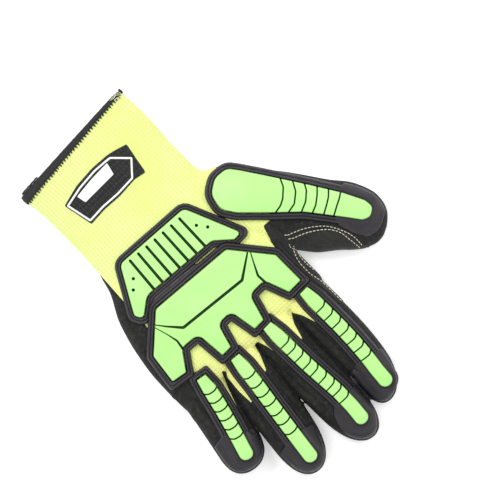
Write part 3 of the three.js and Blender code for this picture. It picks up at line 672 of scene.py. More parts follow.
def finished(thing, nodes, above_table=False):
    """Shades a piece smoothly and puts it in its place in the part."""
    mesh = thing.data
    mesh.polygons.foreach_set("use_smooth", [True] * len(mesh.polygons))
    for point in mesh.vertices if above_table else ():
        point.co.z = max(point.co.z, LOWEST)
    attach(thing, "root")
    if nodes:
        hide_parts(*nodes)


def with_values(mesh, **values):
    """Gives each of a mesh's points its own numbers or vectors."""
    for name, rows in values.items():
        rows = np.asarray(rows, np.float32)
        kind, key = ("FLOAT_VECTOR", "vector") if rows.ndim == 2 else ("FLOAT", "value")
        mesh.attributes.new(name, kind, "POINT").data.foreach_set(key, rows.reshape(-1))


def at_corners(mesh, plan):
    """Each point's plan, for each corner of the mesh's faces."""
    return np.asarray(plan, np.float32)[numbers_of(mesh.loops, "vertex_index", int)]


def in_frame(points):
    """Drawn points in the frame's place."""
    return (np.asarray(points) - HAND_SHIFT) * METRE


def piece(name, points, faces, material, nodes, recess=None, weave=None):
    """A finished piece from drawn points, with each point's painted shade and its plan as a UV map."""
    mesh = mesh_of(name, in_frame(points), faces)
    if recess is not None:
        with_values(mesh, recess=recess)
    if weave is not None:
        mesh.uv_layers.new(name="weave").data.foreach_set("uv", at_corners(mesh, weave).reshape(-1))
    mesh.materials.append(material)
    finished(object_of(name, mesh), nodes)


def maths(kind, reflected=False):
    """A method that adds a Math node, with its own wire as the last value where it is reflected."""
    def reckoned(self, *others):
        values = (*others, self) if reflected else (self, *others)
        return self.graph.node("ShaderNodeMath", dict(enumerate(values)), operation=kind)

    return reckoned


class Wire:
    """A socket that can be reckoned with."""

    __add__, __radd__ = maths("ADD"), maths("ADD", True)
    __sub__, __rsub__ = maths("SUBTRACT"), maths("SUBTRACT", True)
    __mul__, __rmul__ = maths("MULTIPLY"), maths("MULTIPLY", True)
    __truediv__, __rtruediv__ = maths("DIVIDE"), maths("DIVIDE", True)
    __pow__, __rpow__ = maths("POWER"), maths("POWER", True)
    wave, size, part = maths("SINE"), maths("ABSOLUTE"), maths("FRACT")

    def __init__(self, graph, socket):
        self.graph, self.socket = graph, socket

    def ramp(self, low, high, to_low=0.0, to_high=1.0):
        values = {"Value": self, "From Min": low, "From Max": high, "To Min": to_low, "To Max": to_high}
        return self.graph.node("ShaderNodeMapRange", values, interpolation_type="SMOOTHSTEP")


class Graph:
    """A node tree that is written as calls and sums."""

    def __init__(self, tree):
        self.tree = tree

    def node(self, kind, values=None, out=0, **settings):
        made = self.tree.nodes.new(kind)
        for key, value in settings.items():
            setattr(made, key, value)
        for key, value in (values or {}).items():
            if isinstance(value, Wire):
                self.tree.links.new(value.socket, made.inputs[key])
            else:
                made.inputs[key].default_value = value
        return Wire(self, made.outputs[out])


class Finish(Graph):
    """A material: its surface's settings are set once, and what varies is linked."""

    def __init__(self, name, **settings):
        self.material = bpy.data.materials.new(name)
        self.material.use_nodes = True
        super().__init__(self.material.node_tree)
        self.shader = self.tree.nodes["Principled BSDF"]
        for key, value in settings.items():
            self.shader.inputs[key.replace("_", " ")].default_value = value

    def place(self):
        return self.node("ShaderNodeTexCoord", out="Object")

    def recess(self, base, dark):
        """The colour, darkened by the painted shade that the piece gives each point."""
        return self.tint(self.node("ShaderNodeAttribute", out="Fac", attribute_name="recess"), base, dark)

    def noise(self, scale, detail=3.0, roughness=0.55):
        return self.node("ShaderNodeTexNoise", {
            "Scale": scale, "Detail": detail, "Roughness": roughness, "Vector": self.place()})

    def axes(self, vector):
        """A vector's X and its Y."""
        parts = self.node("ShaderNodeSeparateXYZ", {"Vector": vector})
        return parts, Wire(self, parts.socket.node.outputs[1])

    def tint(self, share, first, second):
        """One colour turned into another by a share."""
        first, second = (c if isinstance(c, Wire) else (*c, 1.0) for c in (first, second))
        inputs = {MIX_SHARE: share, MIX_FIRST: first, MIX_SECOND: second}
        return self.node("ShaderNodeMix", inputs, out=MIX_COLOUR, data_type="RGBA")

    def mottled(self, scale, detail, dark, light):
        """A colour that varies softly over the piece."""
        return self.tint(self.noise(scale, detail).ramp(0.3, 0.7), dark, light)

    def paler_on_peaks(self, grit, lumps, high, base, peak_colour):
        """A colour that is paler on the higher parts of its grit and lumps."""
        return self.tint((grit * 0.4 + lumps * 0.6).ramp(0.46, high) * 0.5, base, peak_colour)

    def painted(self, base_colour, relief, distance, strength, roughness=None):
        """The finished material, with what varies over it linked."""
        normal = self.node("ShaderNodeBump", {"Height": relief, "Distance": distance, "Strength": strength})
        links = {"Base Color": base_colour, "Normal": normal}
        if roughness is not None:
            links["Roughness"] = roughness
        for key, wire in links.items():
            self.tree.links.new(wire.socket, self.shader.inputs[key])
        return self.material


def bump_wave(place, length):
    """A wave between 0 and 1 along a place."""
    return (place * (2 * math.pi / length)).wave() * 0.5 + 0.5


def knit_finish():
    """Bright knitted yarn: ribs of stitches in courses, a slight fuzz, painted shade between its ribs and painted
    light on the back.
    """
    f = Finish("knit_yarn", Roughness=0.85, Sheen_Weight=0.15, Sheen_Roughness=0.6)
    across, along = f.axes(f.node("ShaderNodeUVMap", uv_map="weave"))
    rib, row = bump_wave(across, WALE), bump_wave(along, KNOT)
    lean = (across * (2 * math.pi / (WALE / 2))).wave().size() * 0.5
    course = (along * (2 / KNOT) + lean).part()
    loop = (1 - (course * 2 - 1).size()) ** 0.6
    height = loop * 0.4 + rib * row * 0.6 + f.noise(2600.0, 2.0) * 0.25
    broad = f.noise(30.0)
    # Painted shade between the ribs and between the rows, mixed with random tone from the broad noise.
    gap_shade_and_tone = (1 - rib) * 0.65 + (1 - row) * 0.3 + (broad - 0.5) * 0.6
    _, forward = f.axes(f.place())
    # Painted light: the back grows paler from 70 to 90 mm past the cuff's end, and paler still near the fingers' forks
    # from 153 to 167 mm, to lift the shade of the guards round it.
    back, forks = forward.ramp(-0.035, -0.015), forward.ramp(0.048, 0.062)
    base = f.tint(broad.ramp(0.35, 0.65), (0.77, 0.895, 0.26), (0.82, 0.92, 0.37))
    base = f.tint(forks, f.tint(back, base, (0.87, 0.97, 0.31)), (0.98, 1.0, 0.34))
    # The knit's colour with that painted shade, less of it on the back.
    shade = f.tint(gap_shade_and_tone.ramp(0.35, 1.0) * (1 - back * 0.6), base, (0.725, 0.88, 0.21))
    return f.painted(shade, height, 0.00032, 0.9)


def dip_finish():
    """Sandy black dip: fine grit over soft lumps."""
    f = Finish("sandy_dip", Specular_IOR_Level=0.35)
    grit, lumps = f.noise(2300.0, 3.0, 0.7), f.noise(380.0, 3.0, 0.6)
    crumb = f.node("ShaderNodeTexVoronoi", {"Scale": 1500.0, "Vector": f.place()})
    base = f.mottled(60.0, 3.0, (0.0070, 0.0070, 0.0066), (0.0125, 0.0124, 0.0117))
    peak_paled = f.paler_on_peaks(grit, lumps, 0.66, base, (0.046, 0.0455, 0.043))
    return f.painted(peak_paled, grit * 0.4 + crumb * 0.3 + lumps, 0.0004, 0.8, grit.ramp(0.3, 0.7, 0.72, 0.95))


def suede_finish():
    f = Finish("patch_suede", Roughness=0.95, Sheen_Weight=0.15)
    nap, lumps = f.noise(1800.0, 4.0, 0.7), f.noise(420.0, 3.0, 0.6)
    base = f.mottled(70.0, 2.0, (0.0085, 0.0083, 0.0078), (0.0145, 0.0142, 0.0134))
    peak_paled = f.paler_on_peaks(nap, lumps, 0.68, base, (0.046, 0.045, 0.042))
    # The suede's colour with the painted shade that the patch gives it.
    return f.painted(f.recess(peak_paled, (0.002, 0.002, 0.002)), nap * 0.4 + lumps, 0.00035, 0.8)


def rubber_finish(name, shine, scales, dark, light, groove, rough, relief):
    """Moulded rubber, with painted shade in its grooves and wherever its piece puts it."""
    f = Finish(name, Specular_IOR_Level=shine)
    fine = f.noise(scales[0], 3.0, 0.6)
    base = f.recess(f.mottled(scales[1], 2.0, dark, light), groove)
    return f.painted(base, fine, *relief, fine.ramp(0.3, 0.7, *rough))


def yarn_finish(name, dark, light):
    f = Finish(name, Roughness=0.9, Sheen_Weight=0.06)
    twist = f.noise(3200.0, 2.0, 0.6)
    return f.painted(f.tint(twist.ramp(0.35, 0.65), dark, light), twist, 0.00012, 0.8)


def print_finish(name, dark, light):
    """Woven cloth or print on it, with wear, and bands of painted light and shade along the knit's ribs under it."""
    f = Finish(name, Roughness=0.7, Specular_IOR_Level=0.3)
    across, along = f.axes(f.place())
    weave = (across * (2 * math.pi / CLOTH_THREAD)).wave() * (along * (2 * math.pi / CLOTH_THREAD)).wave()
    worn = f.noise(420.0, 4.0, 0.65).ramp(0.45, 0.75)
    # Painted light and shade in bands along the knit's ribs, mixed below with wear.
    ribs = bump_wave(across, WALE * METRE) * bump_wave(along, CLOTH_ROW)
    return f.painted(f.tint(worn * 0.4 + ribs * 0.6, dark, light), weave, 0.00006, 0.6)


KNIT, DIP, SUEDE = knit_finish(), dip_finish(), suede_finish()
# Each rubber's third colour is the one that its painted shade darkens it to.
BLACK_RUBBER = rubber_finish(
    "black_rubber", 0.45, (900.0, 90.0), (0.021, 0.018, 0.0235), (0.031, 0.027, 0.034), (0.003, 0.003, 0.003),
    (0.42, 0.56), (0.00006, 0.6))
GREEN_RUBBER = rubber_finish(
    "lime_rubber", 0.4, (1100.0, 55.0), (0.435, 0.86, 0.25), (0.475, 0.885, 0.285), (0.005, 0.022, 0.003),
    (0.45, 0.6), (0.00005, 0.5))
HEM_YARN = yarn_finish("hem_yarn", (0.012, 0.012, 0.013), (0.035, 0.034, 0.037))
CREAM_THREAD = yarn_finish("cream_thread", (0.62, 0.58, 0.42), (0.8, 0.77, 0.62))
BLACK_THREAD = yarn_finish("black_thread", (0.008, 0.008, 0.009), (0.02, 0.019, 0.021))
GREY_THREAD = yarn_finish("grey_thread", (0.10, 0.098, 0.095), (0.17, 0.165, 0.16))
LABEL_CLOTH = print_finish("label_cloth", (0.010, 0.010, 0.011), (0.042, 0.042, 0.042))
LABEL_PRINT = print_finish("label_print", (0.9, 0.9, 0.89), (0.8, 0.8, 0.79))

# Each row of stitches: its thread, slot and seed, and a stitch's pitch, length and thickness
SEWN = {
    "palm_stitches": (CREAM_THREAD, "coating_black", 11, 2.6, 1.9, 0.5),
    "fork_stitches": (CREAM_THREAD, "patch_black", 7, 2.3, 1.75, 0.55),
    "guard_stitches": (BLACK_THREAD, "guard_black", 3, 2.3, 1.9, 0.5),
    "thumb_stitches": (GREY_THREAD, "guard_black", 9, 1.5, 1.0, 0.3),
    "loose_ends": (CREAM_THREAD, "hem_black", 13, 0.45, 0.75, 0.42),
    "hem_fringe": (BLACK_THREAD, "hem_black", 17, 0.3, 0.5, 0.65),
}
UNEVENNESS = 0.2


# Rows of stitches, threads over an edge and the knit's ribs, by Geometry Nodes


def new_tree(name, *inputs):
    tree = bpy.data.node_groups.new(name, "GeometryNodeTree")
    tree.interface.new_socket(name="Geometry", in_out="INPUT", socket_type="NodeSocketGeometry")
    tree.interface.new_socket(name="Geometry", in_out="OUTPUT", socket_type="NodeSocketGeometry")
    kinds = {"Seed": "Int", "Material": "Material"}
    for label in (*inputs, "Material"):
        kind = "NodeSocket" + kinds.get(label, "Float")
        tree.interface.new_socket(name=label, in_out="INPUT", socket_type=kind)
    graph = Graph(tree)
    start = tree.nodes.new("NodeGroupInput")
    return graph, {socket.name: Wire(graph, socket) for socket in start.outputs if socket.name}


def close_tree(g, geometry, inlet):
    solid = g.node("GeometryNodeRealizeInstances", {0: geometry})
    painted = g.node("GeometryNodeSetMaterial", {"Geometry": solid, "Material": inlet["Material"]})
    end = g.tree.nodes.new("NodeGroupOutput")
    g.tree.links.new(painted.socket, end.inputs[0])
    return g.tree


def named(g, name, kind="FLOAT"):
    """The value that each point has under a name."""
    return g.node("GeometryNodeInputNamedAttribute", {"Name": name}, data_type=kind)


def strands(g, inlet, long, turn):
    """Small bulging strands at even steps along the lines that come in."""
    line = g.node("GeometryNodeMeshToCurve", {"Mesh": inlet["Geometry"]})
    spaced = g.node("GeometryNodeResampleCurve", {"Curve": line, "Length": inlet["Pitch"]}, mode="LENGTH")
    strand = g.node("GeometryNodeMeshUVSphere", {"Segments": 8, "Rings": 6, "Radius": 0.5})
    size = g.node("ShaderNodeCombineXYZ", {"X": long, "Y": inlet["Thickness"], "Z": inlet["Thickness"]})
    rows = g.node("GeometryNodeInstanceOnPoints", {
        "Points": spaced, "Instance": strand, "Rotation": turn, "Scale": size})
    return close_tree(g, rows, inlet)


def stitch_tree():
    """Short bulging stitches along a line."""
    g, inlet = new_tree("stitch_row", "Pitch", "Length", "Thickness", "Unevenness", "Seed")
    ahead = g.node("GeometryNodeInputTangent")
    turned = g.node("FunctionNodeAlignRotationToVector", {"Vector": ahead}, axis="X")
    varied = g.node("FunctionNodeRandomValue", {"Seed": inlet["Seed"]}, out=1, data_type="FLOAT")
    return strands(g, inlet, inlet["Length"] * (varied * inlet["Unevenness"] + 1), turned)


def wrap_tree():
    """Threads that wrap over an edge, each a bent strand square to the line."""
    g, inlet = new_tree("edge_wraps", "Pitch", "Reach", "Thickness", "Slant", "Seed")
    axes = {"Primary Axis": named(g, "outward", "FLOAT_VECTOR"), "Secondary Axis": named(g, "forward", "FLOAT_VECTOR")}
    turned = g.node("FunctionNodeAxesToRotation", axes, primary_axis="Z", secondary_axis="X")
    varied = g.node("FunctionNodeRandomValue", {"Seed": inlet["Seed"]}, out=1, data_type="FLOAT")
    skew = g.node("FunctionNodeAxisAngleToRotation", {
        "Axis": (0.0, 0.0, 1.0), "Angle": (varied - 0.5) * inlet["Slant"]})
    both = g.node("FunctionNodeRotateRotation", {"Rotation": turned, "Rotate By": skew}, rotation_space="LOCAL")
    return strands(g, inlet, named(g, "reach") * inlet["Reach"] * (varied * 0.25 + 0.88), both)


def rib_tree():
    """Knitted ribs: the skin rises and falls with the place across the wales."""
    g, inlet = new_tree("knit_ribs", "Wale", "Knot", "Height")
    rib = (named(g, "across") / inlet["Wale"] * (2 * math.pi)).wave()
    row = (named(g, "along") / inlet["Knot"] * (2 * math.pi)).wave()
    rise = (rib * 0.7 + row * 0.3) * inlet["Height"] * named(g, "fade")
    normal = g.node("GeometryNodeInputNormal")
    offset = g.node("ShaderNodeVectorMath", {0: normal, "Scale": rise}, operation="SCALE")
    return close_tree(g, g.node("GeometryNodeSetPosition", {"Geometry": inlet["Geometry"], "Offset": offset}), inlet)


STITCHES, WRAPS, RIBS = stitch_tree(), wrap_tree(), rib_tree()


def grown_by(thing, tree, name, **inputs):
    """The mesh that a tree makes of an object, as a plain object without the modifier."""
    modifier = thing.modifiers.new("made", "NODES")
    modifier.node_group = tree
    for item in tree.interface.items_tree:
        if item.in_out == "INPUT" and item.name.lower() in inputs:
            modifier[item.identifier] = inputs[item.name.lower()]
    mesh = settled(thing)
    mesh.name = name
    return object_of(name, mesh)


def line_mesh(name, lines, closed=False):
    """Lines of drawn points as edges, in the frame's place."""
    points, edges = [], []
    for line in lines:
        start, last = len(points), len(points) + len(line) - 1
        points += in_frame(line).tolist()
        edges += [(i, i + 1) for i in range(start, last)] + [(last, start)] * closed
    mesh = bpy.data.meshes.new(name)
    mesh.from_pydata(points, edges, [])
    return mesh


def stitched(name, lines):
    material, slot, seed, pitch, length, thickness = SEWN[name]
    thing = grown_by(
        object_of(name + "_line", line_mesh(name + "_line", lines)), STITCHES, name, pitch=pitch * METRE,
        length=length * METRE, thickness=thickness * METRE, unevenness=UNEVENNESS, seed=seed, material=material)
    finished(thing, ())


# The camera, the light and the stage


def set_camera():
    camera = bpy.data.cameras.new("camera")
    camera.lens = FILM_WIDTH * CAMERA_AWAY / VIEW_WIDTH
    camera.clip_end = 50
    view = object_of("camera", camera)
    half = math.sqrt(0.5)
    turned = Matrix(((-half, half, 0), (-half, -half, 0), (0, 0, 1))).transposed()
    view.matrix_world = Matrix.Translation(CAMERA_PLACE) @ turned.to_4x4()
    bpy.context.scene.camera = view
    bpy.context.scene.view_settings.view_transform = "Standard"


def soft_light(name, place, size, power):
    light = bpy.data.lights.new(name, "AREA")
    light.shape, light.size, light.energy = "DISK", size, power
    lamp = object_of(name, light)
    lamp.location = place
    lamp.rotation_mode = "QUATERNION"
    lamp.rotation_quaternion = Vector(place).to_track_quat("Z", "Y")


def set_stage():
    half = FLOOR_HALF
    corners = [(-half, -half, 0), (half, -half, 0), (half, half, 0), (-half, half, 0)]
    floor = object_of("floor", mesh_of("floor", corners, [(0, 1, 2, 3)]))
    f = Finish("pale_floor", Roughness=0.9, Specular_IOR_Level=0.1, Emission_Strength=0.35)
    paint = f.mottled(2.0, 1.0, (0.93, 0.93, 0.93), (0.95, 0.95, 0.95))
    f.tree.links.new(paint.socket, f.shader.inputs["Base Color"])
    floor.data.materials.append(f.material)
    world = bpy.data.worlds.new("studio")
    bpy.context.scene.world = world
    world.use_nodes = True
    background = world.node_tree.nodes["Background"]
    background.inputs["Color"].default_value = (1, 1, 1, 1)
    background.inputs["Strength"].default_value = SURROUND
    for name, (place, size, power) in LIGHTS.items():
        soft_light(name, place, size, power)


set_camera()
set_stage()


# The knit


KNIT_OUTLINE = [
    (-44, 60), (-50, 66), (-58, 75), (-70, 90), (-66, 108), (-57, 121), (-51, 123.5), (-47, 131), (-45.5, 140),
    (-44.5, 150), (-44.5, 164), (-41, 177), (-31, 187), (-28, 178), (-24.5, 172), (-21, 178), (-18, 188),
    (-8, 190), (0.5, 184), (1.5, 176), (3.7, 170), (6.3, 170), (7.7, 176), (12, 186), (20, 190), (33.6, 194),
    (34, 184), (33, 172), (30.8, 169), (32.6, 166.8), (37, 177), (42, 191), (43.5, 172), (45, 160), (45.6, 150),
    (46.5, 140), (46.3, 116), (45.6, 100), (44.9, 85), (44.3, 72), (44, 60),
]
SIDE_HEIGHT = 8.0
# Where the knit starts, how far its back part reaches across and ahead, and where the dip may start
KNIT_START, KNIT_ACROSS, KNIT_TIP = 0.6, (-76.0, 56.0), 192.0
DIP_FROM_ABOVE, DIP_FROM_BELOW = 62.0, 66.0


def dip_room(points):
    """How far points of the skin are inside the dip: its edge runs one way above and one way on the palm."""
    x, y, z = points.T
    above = np.minimum(-signed(points[:, :2], np.array(KNIT_OUTLINE, float)), y - DIP_FROM_ABOVE)
    ragged = 0.8 * np.sin(x * 0.9) + 0.5 * np.sin(x * 2.3 + 1) + 0.12 * x + 14 * eased(-x, 40, 52)
    return mix(y - DIP_FROM_BELOW - ragged, above, eased(z, SIDE_HEIGHT - 0.8, SIDE_HEIGHT + 0.8))


skin_room = dip_room(body_points)


def cuff_knit():
    """The cuff's full round: rows of points at even steps along each section."""
    count = 5 * WALES_ROUND
    rows = []
    for along in np.arange(KNIT_START, KNIT_END, COURSE) / HAND_LENGTH:
        loop = closed_up(hand_ring(along, count=RING_POINTS))
        run = run_along(loop)
        at = np.mod(np.arange(count) / count * run[-1] + run[RING_POINTS // 4], run[-1])
        rows.append(np.column_stack([np.interp(at, run, axis) for axis in loop.T]))
    across = np.tile(-np.arange(count) / count * WALES_ROUND * WALE, len(rows))
    return rows, across, grid_faces(count, len(rows), closed=True)[:, [0, 2, 1]]


def back_knit():
    """The back's ribbed knit, on a plan grid that lies on the hand and sinks under the dip's edge."""
    xs, ys = np.arange(*KNIT_ACROSS, COLUMN), np.arange(KNIT_END - 0.5, KNIT_TIP, COURSE)
    plan = np.array([(x, y) for y in ys for x in xs])
    room = signed(plan, np.array(KNIT_OUTLINE, float))
    heights = np.full(len(plan), np.nan)
    heights[room > -2.5] = skin_heights(plan[room > -2.5])
    valid = np.isfinite(heights)
    heights = np.where(valid, heights, 0.0) - 0.7 * (1 - eased(room, -0.6, 0.9))
    faces = grid_faces(len(xs), len(ys))
    ribbed = eased(room, -0.4, 1.2) * (1 - 0.45 * eased(plan[:, 1], 70, 90))
    return clipped(np.column_stack([plan, heights, ribbed]), faces[valid[faces].all(axis=1)], room + 1.5)


def under_knit():
    """The plain skin below the ribs, which closes the sides and runs under the dip's edge."""
    keep = np.minimum(1.2 - skin_room, body_points[:, 1] - KNIT_END + 3)
    some = body_triangles[(keep[body_triangles] > 0).any(axis=1)]
    return clipped(np.column_stack([body_points - 0.25 * body_normals, np.zeros(len(keep))]), some, keep)


def make_knit():
    cuff_rows, cuff_across, cuff_faces = cuff_knit()
    last = cuff_rows[-1]
    ribbed, ribbed_faces = back_knit()
    plain, plain_faces = under_knit()
    cuff = np.vstack(cuff_rows)
    beyond = np.vstack([ribbed, plain])
    beyond_across = (beyond[:, 0] - last[0, 0]) * WALES_ROUND * WALE / run_along(closed_up(last))[-1]
    points = np.vstack([cuff, beyond[:, :3]])
    points[:, 2] = np.maximum(points[:, 2], 0.25)
    across, along = np.concatenate([cuff_across, beyond_across]), points[:, 1]
    faces = np.vstack([cuff_faces, ribbed_faces + len(cuff), plain_faces + len(cuff) + len(ribbed)])
    mesh = mesh_of("knit", in_frame(points), faces)
    with_values(mesh, across=across, along=along, fade=np.concatenate([np.ones(len(cuff)), beyond[:, 3]]))
    weave = at_corners(mesh, np.column_stack([across, along]))
    turns, half_round = weave[:, 0].reshape(-1, 3), WALES_ROUND * WALE / 2
    over_seam = np.ptp(turns, axis=1)[:, None] > half_round
    weave[:, 0] = np.where(over_seam & (turns > -half_round), turns - 2 * half_round, turns).reshape(-1)
    mesh.uv_layers.new(name="weave").data.foreach_set("uv", weave.reshape(-1))
    thing = grown_by(object_of("knit_plain", mesh), RIBS, "knit_shell", wale=WALE, knot=KNOT,
                     height=RIB_HEIGHT * METRE, material=KNIT)
    finished(thing, ["knit_cuff", "knit_back"], above_table=True)


make_knit()


def make_lining():
    points, faces = lofted([hand_ring(a, -LINING_GAP, 96) for a in np.linspace(0.005, 0.94, 48)])
    inward = [face[::-1] for face in faces if face != faces[-2]]
    piece("lining", points, inward, KNIT, (), weave=points[:, :2] * (1.3, 1.0))


make_lining()


# The dip, with its folds and the palm's sewn seams

# Double seams on the palm, as points between their two rows, how far apart the rows are, and how deep
PALM_SEAMS = [
    [(-52, 80), (-41, 77), (-30, 84), (-26, 96), (-31, 110), (-42, 124), (-55, 139), (-67, 151), (-77, 157),
     (-86, 154), (-90, 144), (-85, 130), (-76, 114), (-66, 96), (-60, 86), (-52, 80)],
    [(-42, 214), (-41, 200), (-43, 186), (-40, 172), (-43, 160), (-41, 148), (-45, 138)],
    [(-45, 196), (-36, 196)],
    [(-46, 166), (-36, 168)],
]
SEAM_APART = 2.4
SEAM_DEPTH, SEAM_HEIGHT = 0.45, 0.32


def make_dip():
    folded = body_points.copy()
    below = body_normals[:, 2] < -0.3
    for seam in PALM_SEAMS:
        away = nearest(body_points[below, :2], curved(seam, 2.0)[:, :2])
        folded[below, 2] += SEAM_DEPTH * (1 - eased(away, 1.9, 3.4))
    rows, faces = clipped(np.column_stack([folded, body_normals, skin_room]), body_triangles, skin_room)
    away, room = rows[:, 3:6], rows[:, 6]
    skin = rows[:, :3] + away * (DIP_LIFT * eased(room, -0.1, 0.8))[:, None]
    edge = edge_pairs(faces)
    ids = np.unique(edge)
    walls = np.column_stack([len(skin) + np.searchsorted(ids, edge), edge[:, ::-1]])
    skin = np.vstack([skin, skin[ids] - away[ids] * 0.8])
    skin[:, 2] = np.maximum(skin[:, 2], 0.0)
    piece("dip_shell", skin, faces.tolist() + walls.tolist(), DIP,
          ["dipped_palm", "thumb_stall", "index_stall", "middle_stall", "ring_stall", "little_stall"])
    rows = []
    for seam in PALM_SEAMS:
        line = curved(seam)
        for side in (-1, 1):
            plan = line + ahead_and_left(line)[1] * side * SEAM_APART / 2
            rows.append(np.column_stack([plan, np.full(len(plan), SEAM_HEIGHT)]))
    stitched("palm_stitches", rows)


make_dip()


# The patch in the thumb's fork


PATCH = [
    (-90, 178, 1), (-86.5, 170, 3), (-84, 158, 6), (-77, 149, 8), (-66, 140, 8), (-57, 131, 4), (-57.3, 121.5, 1.2),
    (-50.5, 120.8, 1.5), (-47.3, 131, 4), (-46.8, 142, 8), (-47, 158, 8), (-48.3, 172, 8), (-49.5, 190, 2),
    (-60, 192, 2), (-80, 192, 2),
]
PATCH_SEAMS = [
    [(-84.2, 172), (-83.2, 165), (-82, 158), (-78, 151.2), (-72, 146.2), (-66, 142.5), (-60, 139.8), (-56.3, 138)],
    [(-86.3, 172), (-86, 165), (-83, 156.5), (-79.3, 150), (-73.5, 144.2), (-67, 139.8), (-60, 136.4), (-56, 134.6)],
    [(-51.2, 188), (-51.1, 178), (-50.8, 171), (-49.8, 165), (-49.5, 159), (-50.2, 152), (-52.6, 144.5),
     (-54.4, 140.5)],
    [(-52.6, 162), (-52.2, 156), (-52.6, 150.5), (-54.3, 145.5), (-55.6, 143)],
]
PATCH_FOLDS = 3


def make_patch():
    points, faces, shades = skin_over(rounded(PATCH), PATCH_THICK, lowest=3.0)
    # Painted shade along the patch's folds, besides that along its edge.
    for fold in FOLDS[-PATCH_FOLDS:]:
        away = nearest(points[:, :2], curved([row[:2] for row in fold]))
        shades = np.maximum(shades, 0.75 * (1 - eased(away, 0.15, 1.1)))
    piece("fork_patch", points, faces, SUEDE, ["crotch_patch"], shades)
    stitched("fork_stitches", [on_skin(curved(seam), PATCH_THICK + 0.12) for seam in PATCH_SEAMS])


make_patch()


# The guards

# The border's section: distance out, height, height round a fingertip, and how much painted shade it has
RIM_PROFILE = [
    (0.45, 0.5, 0.5, 1.0), (0.45, 2.4, 1.4, 0.9), (0.6, 2.95, 1.6, 0.4), (0.95, 3.25, 1.6, 0.0),
    (1.4, 3.3, 1.5, 0.0), (1.9, 3.1, 1.3, 0.1), (2.15, 2.75, 1.1, 0.8), (2.35, 2.5, 1.0, 1.0),
    (2.55, 2.6, 0.9, 0.8), (2.8, 2.95, 0.8, 0.1), (3.2, 3.1, 0.6, 0.0), (3.6, 2.95, 0.5, 0.0),
    (4.0, 2.6, 0.3, 0.2), (4.3, 1.9, 0.1, 0.9), (4.5, 0.8, 0.0, 1.0), (4.5, -0.4, -0.4, 1.0),
]
STITCH_AT = 2.4
PAD_EDGE = ((0.0, 0.95), (0.25, 0.35), (0.6, 0.08), (1.1, 0.0))


def rim(corners, border, stay_off=(), cover=None):
    """A raised border round a pad's outline: two beads with a stitched groove between.

    It is low where it meets another guard, and round a fingertip it falls off in one smooth slope.
    """
    share = border / RIM_PROFILE[-1][0]
    loops = []
    for reach, height, calm_height, _ in RIM_PROFILE:
        loop = rounded(corners, reach * share)
        lift = np.full(len(loop), height)
        if cover is not None:
            lift = mix(lift, calm_height, eased(signed(loop, cover), 0.0, 6.0))
        for other in stay_off:
            lift = np.minimum(lift, -0.6 + 4 * eased(-signed(loop, other), -0.1, 0.6))
        loops.append(laid(loop, lift))
    count = len(loops[0])
    faces = np.roll(ring_faces(count, len(loops)), -1, axis=1)
    # The painted shade of each loop, from the profile.
    return np.vstack(loops), faces.tolist(), np.repeat([row[3] for row in RIM_PROFILE], count)


def pad(corners, cuts=(), top=PAD_TOP, floor=PAD_FLOOR, depth=1.7, edge=PAD_EDGE, dome=0.0, step=1.5, ribs=0.0):
    """A moulded plate: rounded edge, grooves cut in, and walls down to its floor, with painted shade in its grooves
    and along its edge.
    """
    outline = rounded(corners)
    coords, edges = [], []

    def add_loop(loop):
        start, count = len(coords), len(loop)
        coords.extend(loop.tolist())
        edges.extend((start + i, start + (i + 1) % count) for i in range(count))

    for inset, _ in edge:
        add_loop(rounded(corners, -inset))
    lines = []
    for cut in cuts:
        line, width = np.split(evenly(np.array(cut, float), 1.0, closed=False), [2], axis=1)
        half = width[:, 0] / 2
        lines.append((line, half))
        for spare in (0.45, 0.22, -0.06):
            add_loop(band(line, np.maximum(half + spare, 0.06)))
    low, high = outline.min(axis=0), outline.max(axis=0)
    grid = np.array([
        (x + (step / 2) * (row % 2), y)
        for row, y in enumerate(np.arange(low[1], high[1], step * 0.87))
        for x in np.arange(low[0], high[0], step)
    ])
    flat_from = edge[-1][0]
    room = signed(grid, outline)
    for line, half in lines:
        room = np.minimum(room, nearest(grid, line, halves=half) + flat_from - 0.4)
    coords.extend(grid[room > flat_from + 0.4].tolist())
    flat, _, faces, *_ = delaunay_2d_cdt([Vector(c) for c in coords], edges, [], 0, 1e-4)
    flat = np.array([tuple(v) for v in flat])
    faces = np.array([f for f in faces if len(f) == 3])
    flat, faces = only_used(flat, faces[within(flat[faces].mean(axis=1), outline)])
    away = nearest(flat, outline, closed=True)
    drop = np.interp(away, *zip(*edge))
    recess = np.zeros(len(flat))
    for line, half in lines:
        recess = np.maximum(recess, 1 - eased(nearest(flat, line, halves=half), -0.05, 0.21))
    ribbed = ribs * np.sin(flat[:, 0] * 2 * np.pi / WALE) * eased(away, 0.3, 1.5)
    lift = top - drop + dome * eased(away, 0.0, 4.5) + ribbed - depth * recess
    # Painted shade in the grooves and along the plate's outer edge.
    return sheet(laid(flat, lift), laid(flat, floor), faces, np.maximum(recess, 1 - eased(away, 0.0, 0.5)))


def joined(parts):
    """Several parts, each with its points, faces and shades, as one."""
    faces, start = [], 0
    for points, more, _ in parts:
        faces += [[i + start for i in face] for face in more]
        start += len(points)
    return np.vstack([part[0] for part in parts]), faces, np.concatenate([part[2] for part in parts])


def groove_line(corners, border, cover):
    """The line of the border's stitches, open where a fingertip's cover takes its place."""
    groove = rounded(corners, STITCH_AT * border / RIM_PROFILE[-1][0])
    line = laid(groove, 2.6)
    if cover is None:
        return closed_up(line)
    bare = signed(groove, cover) < 0.5
    first = np.flatnonzero(bare & ~np.roll(bare, 1))[0]
    return np.roll(line, -first, axis=0)[:np.count_nonzero(bare)]


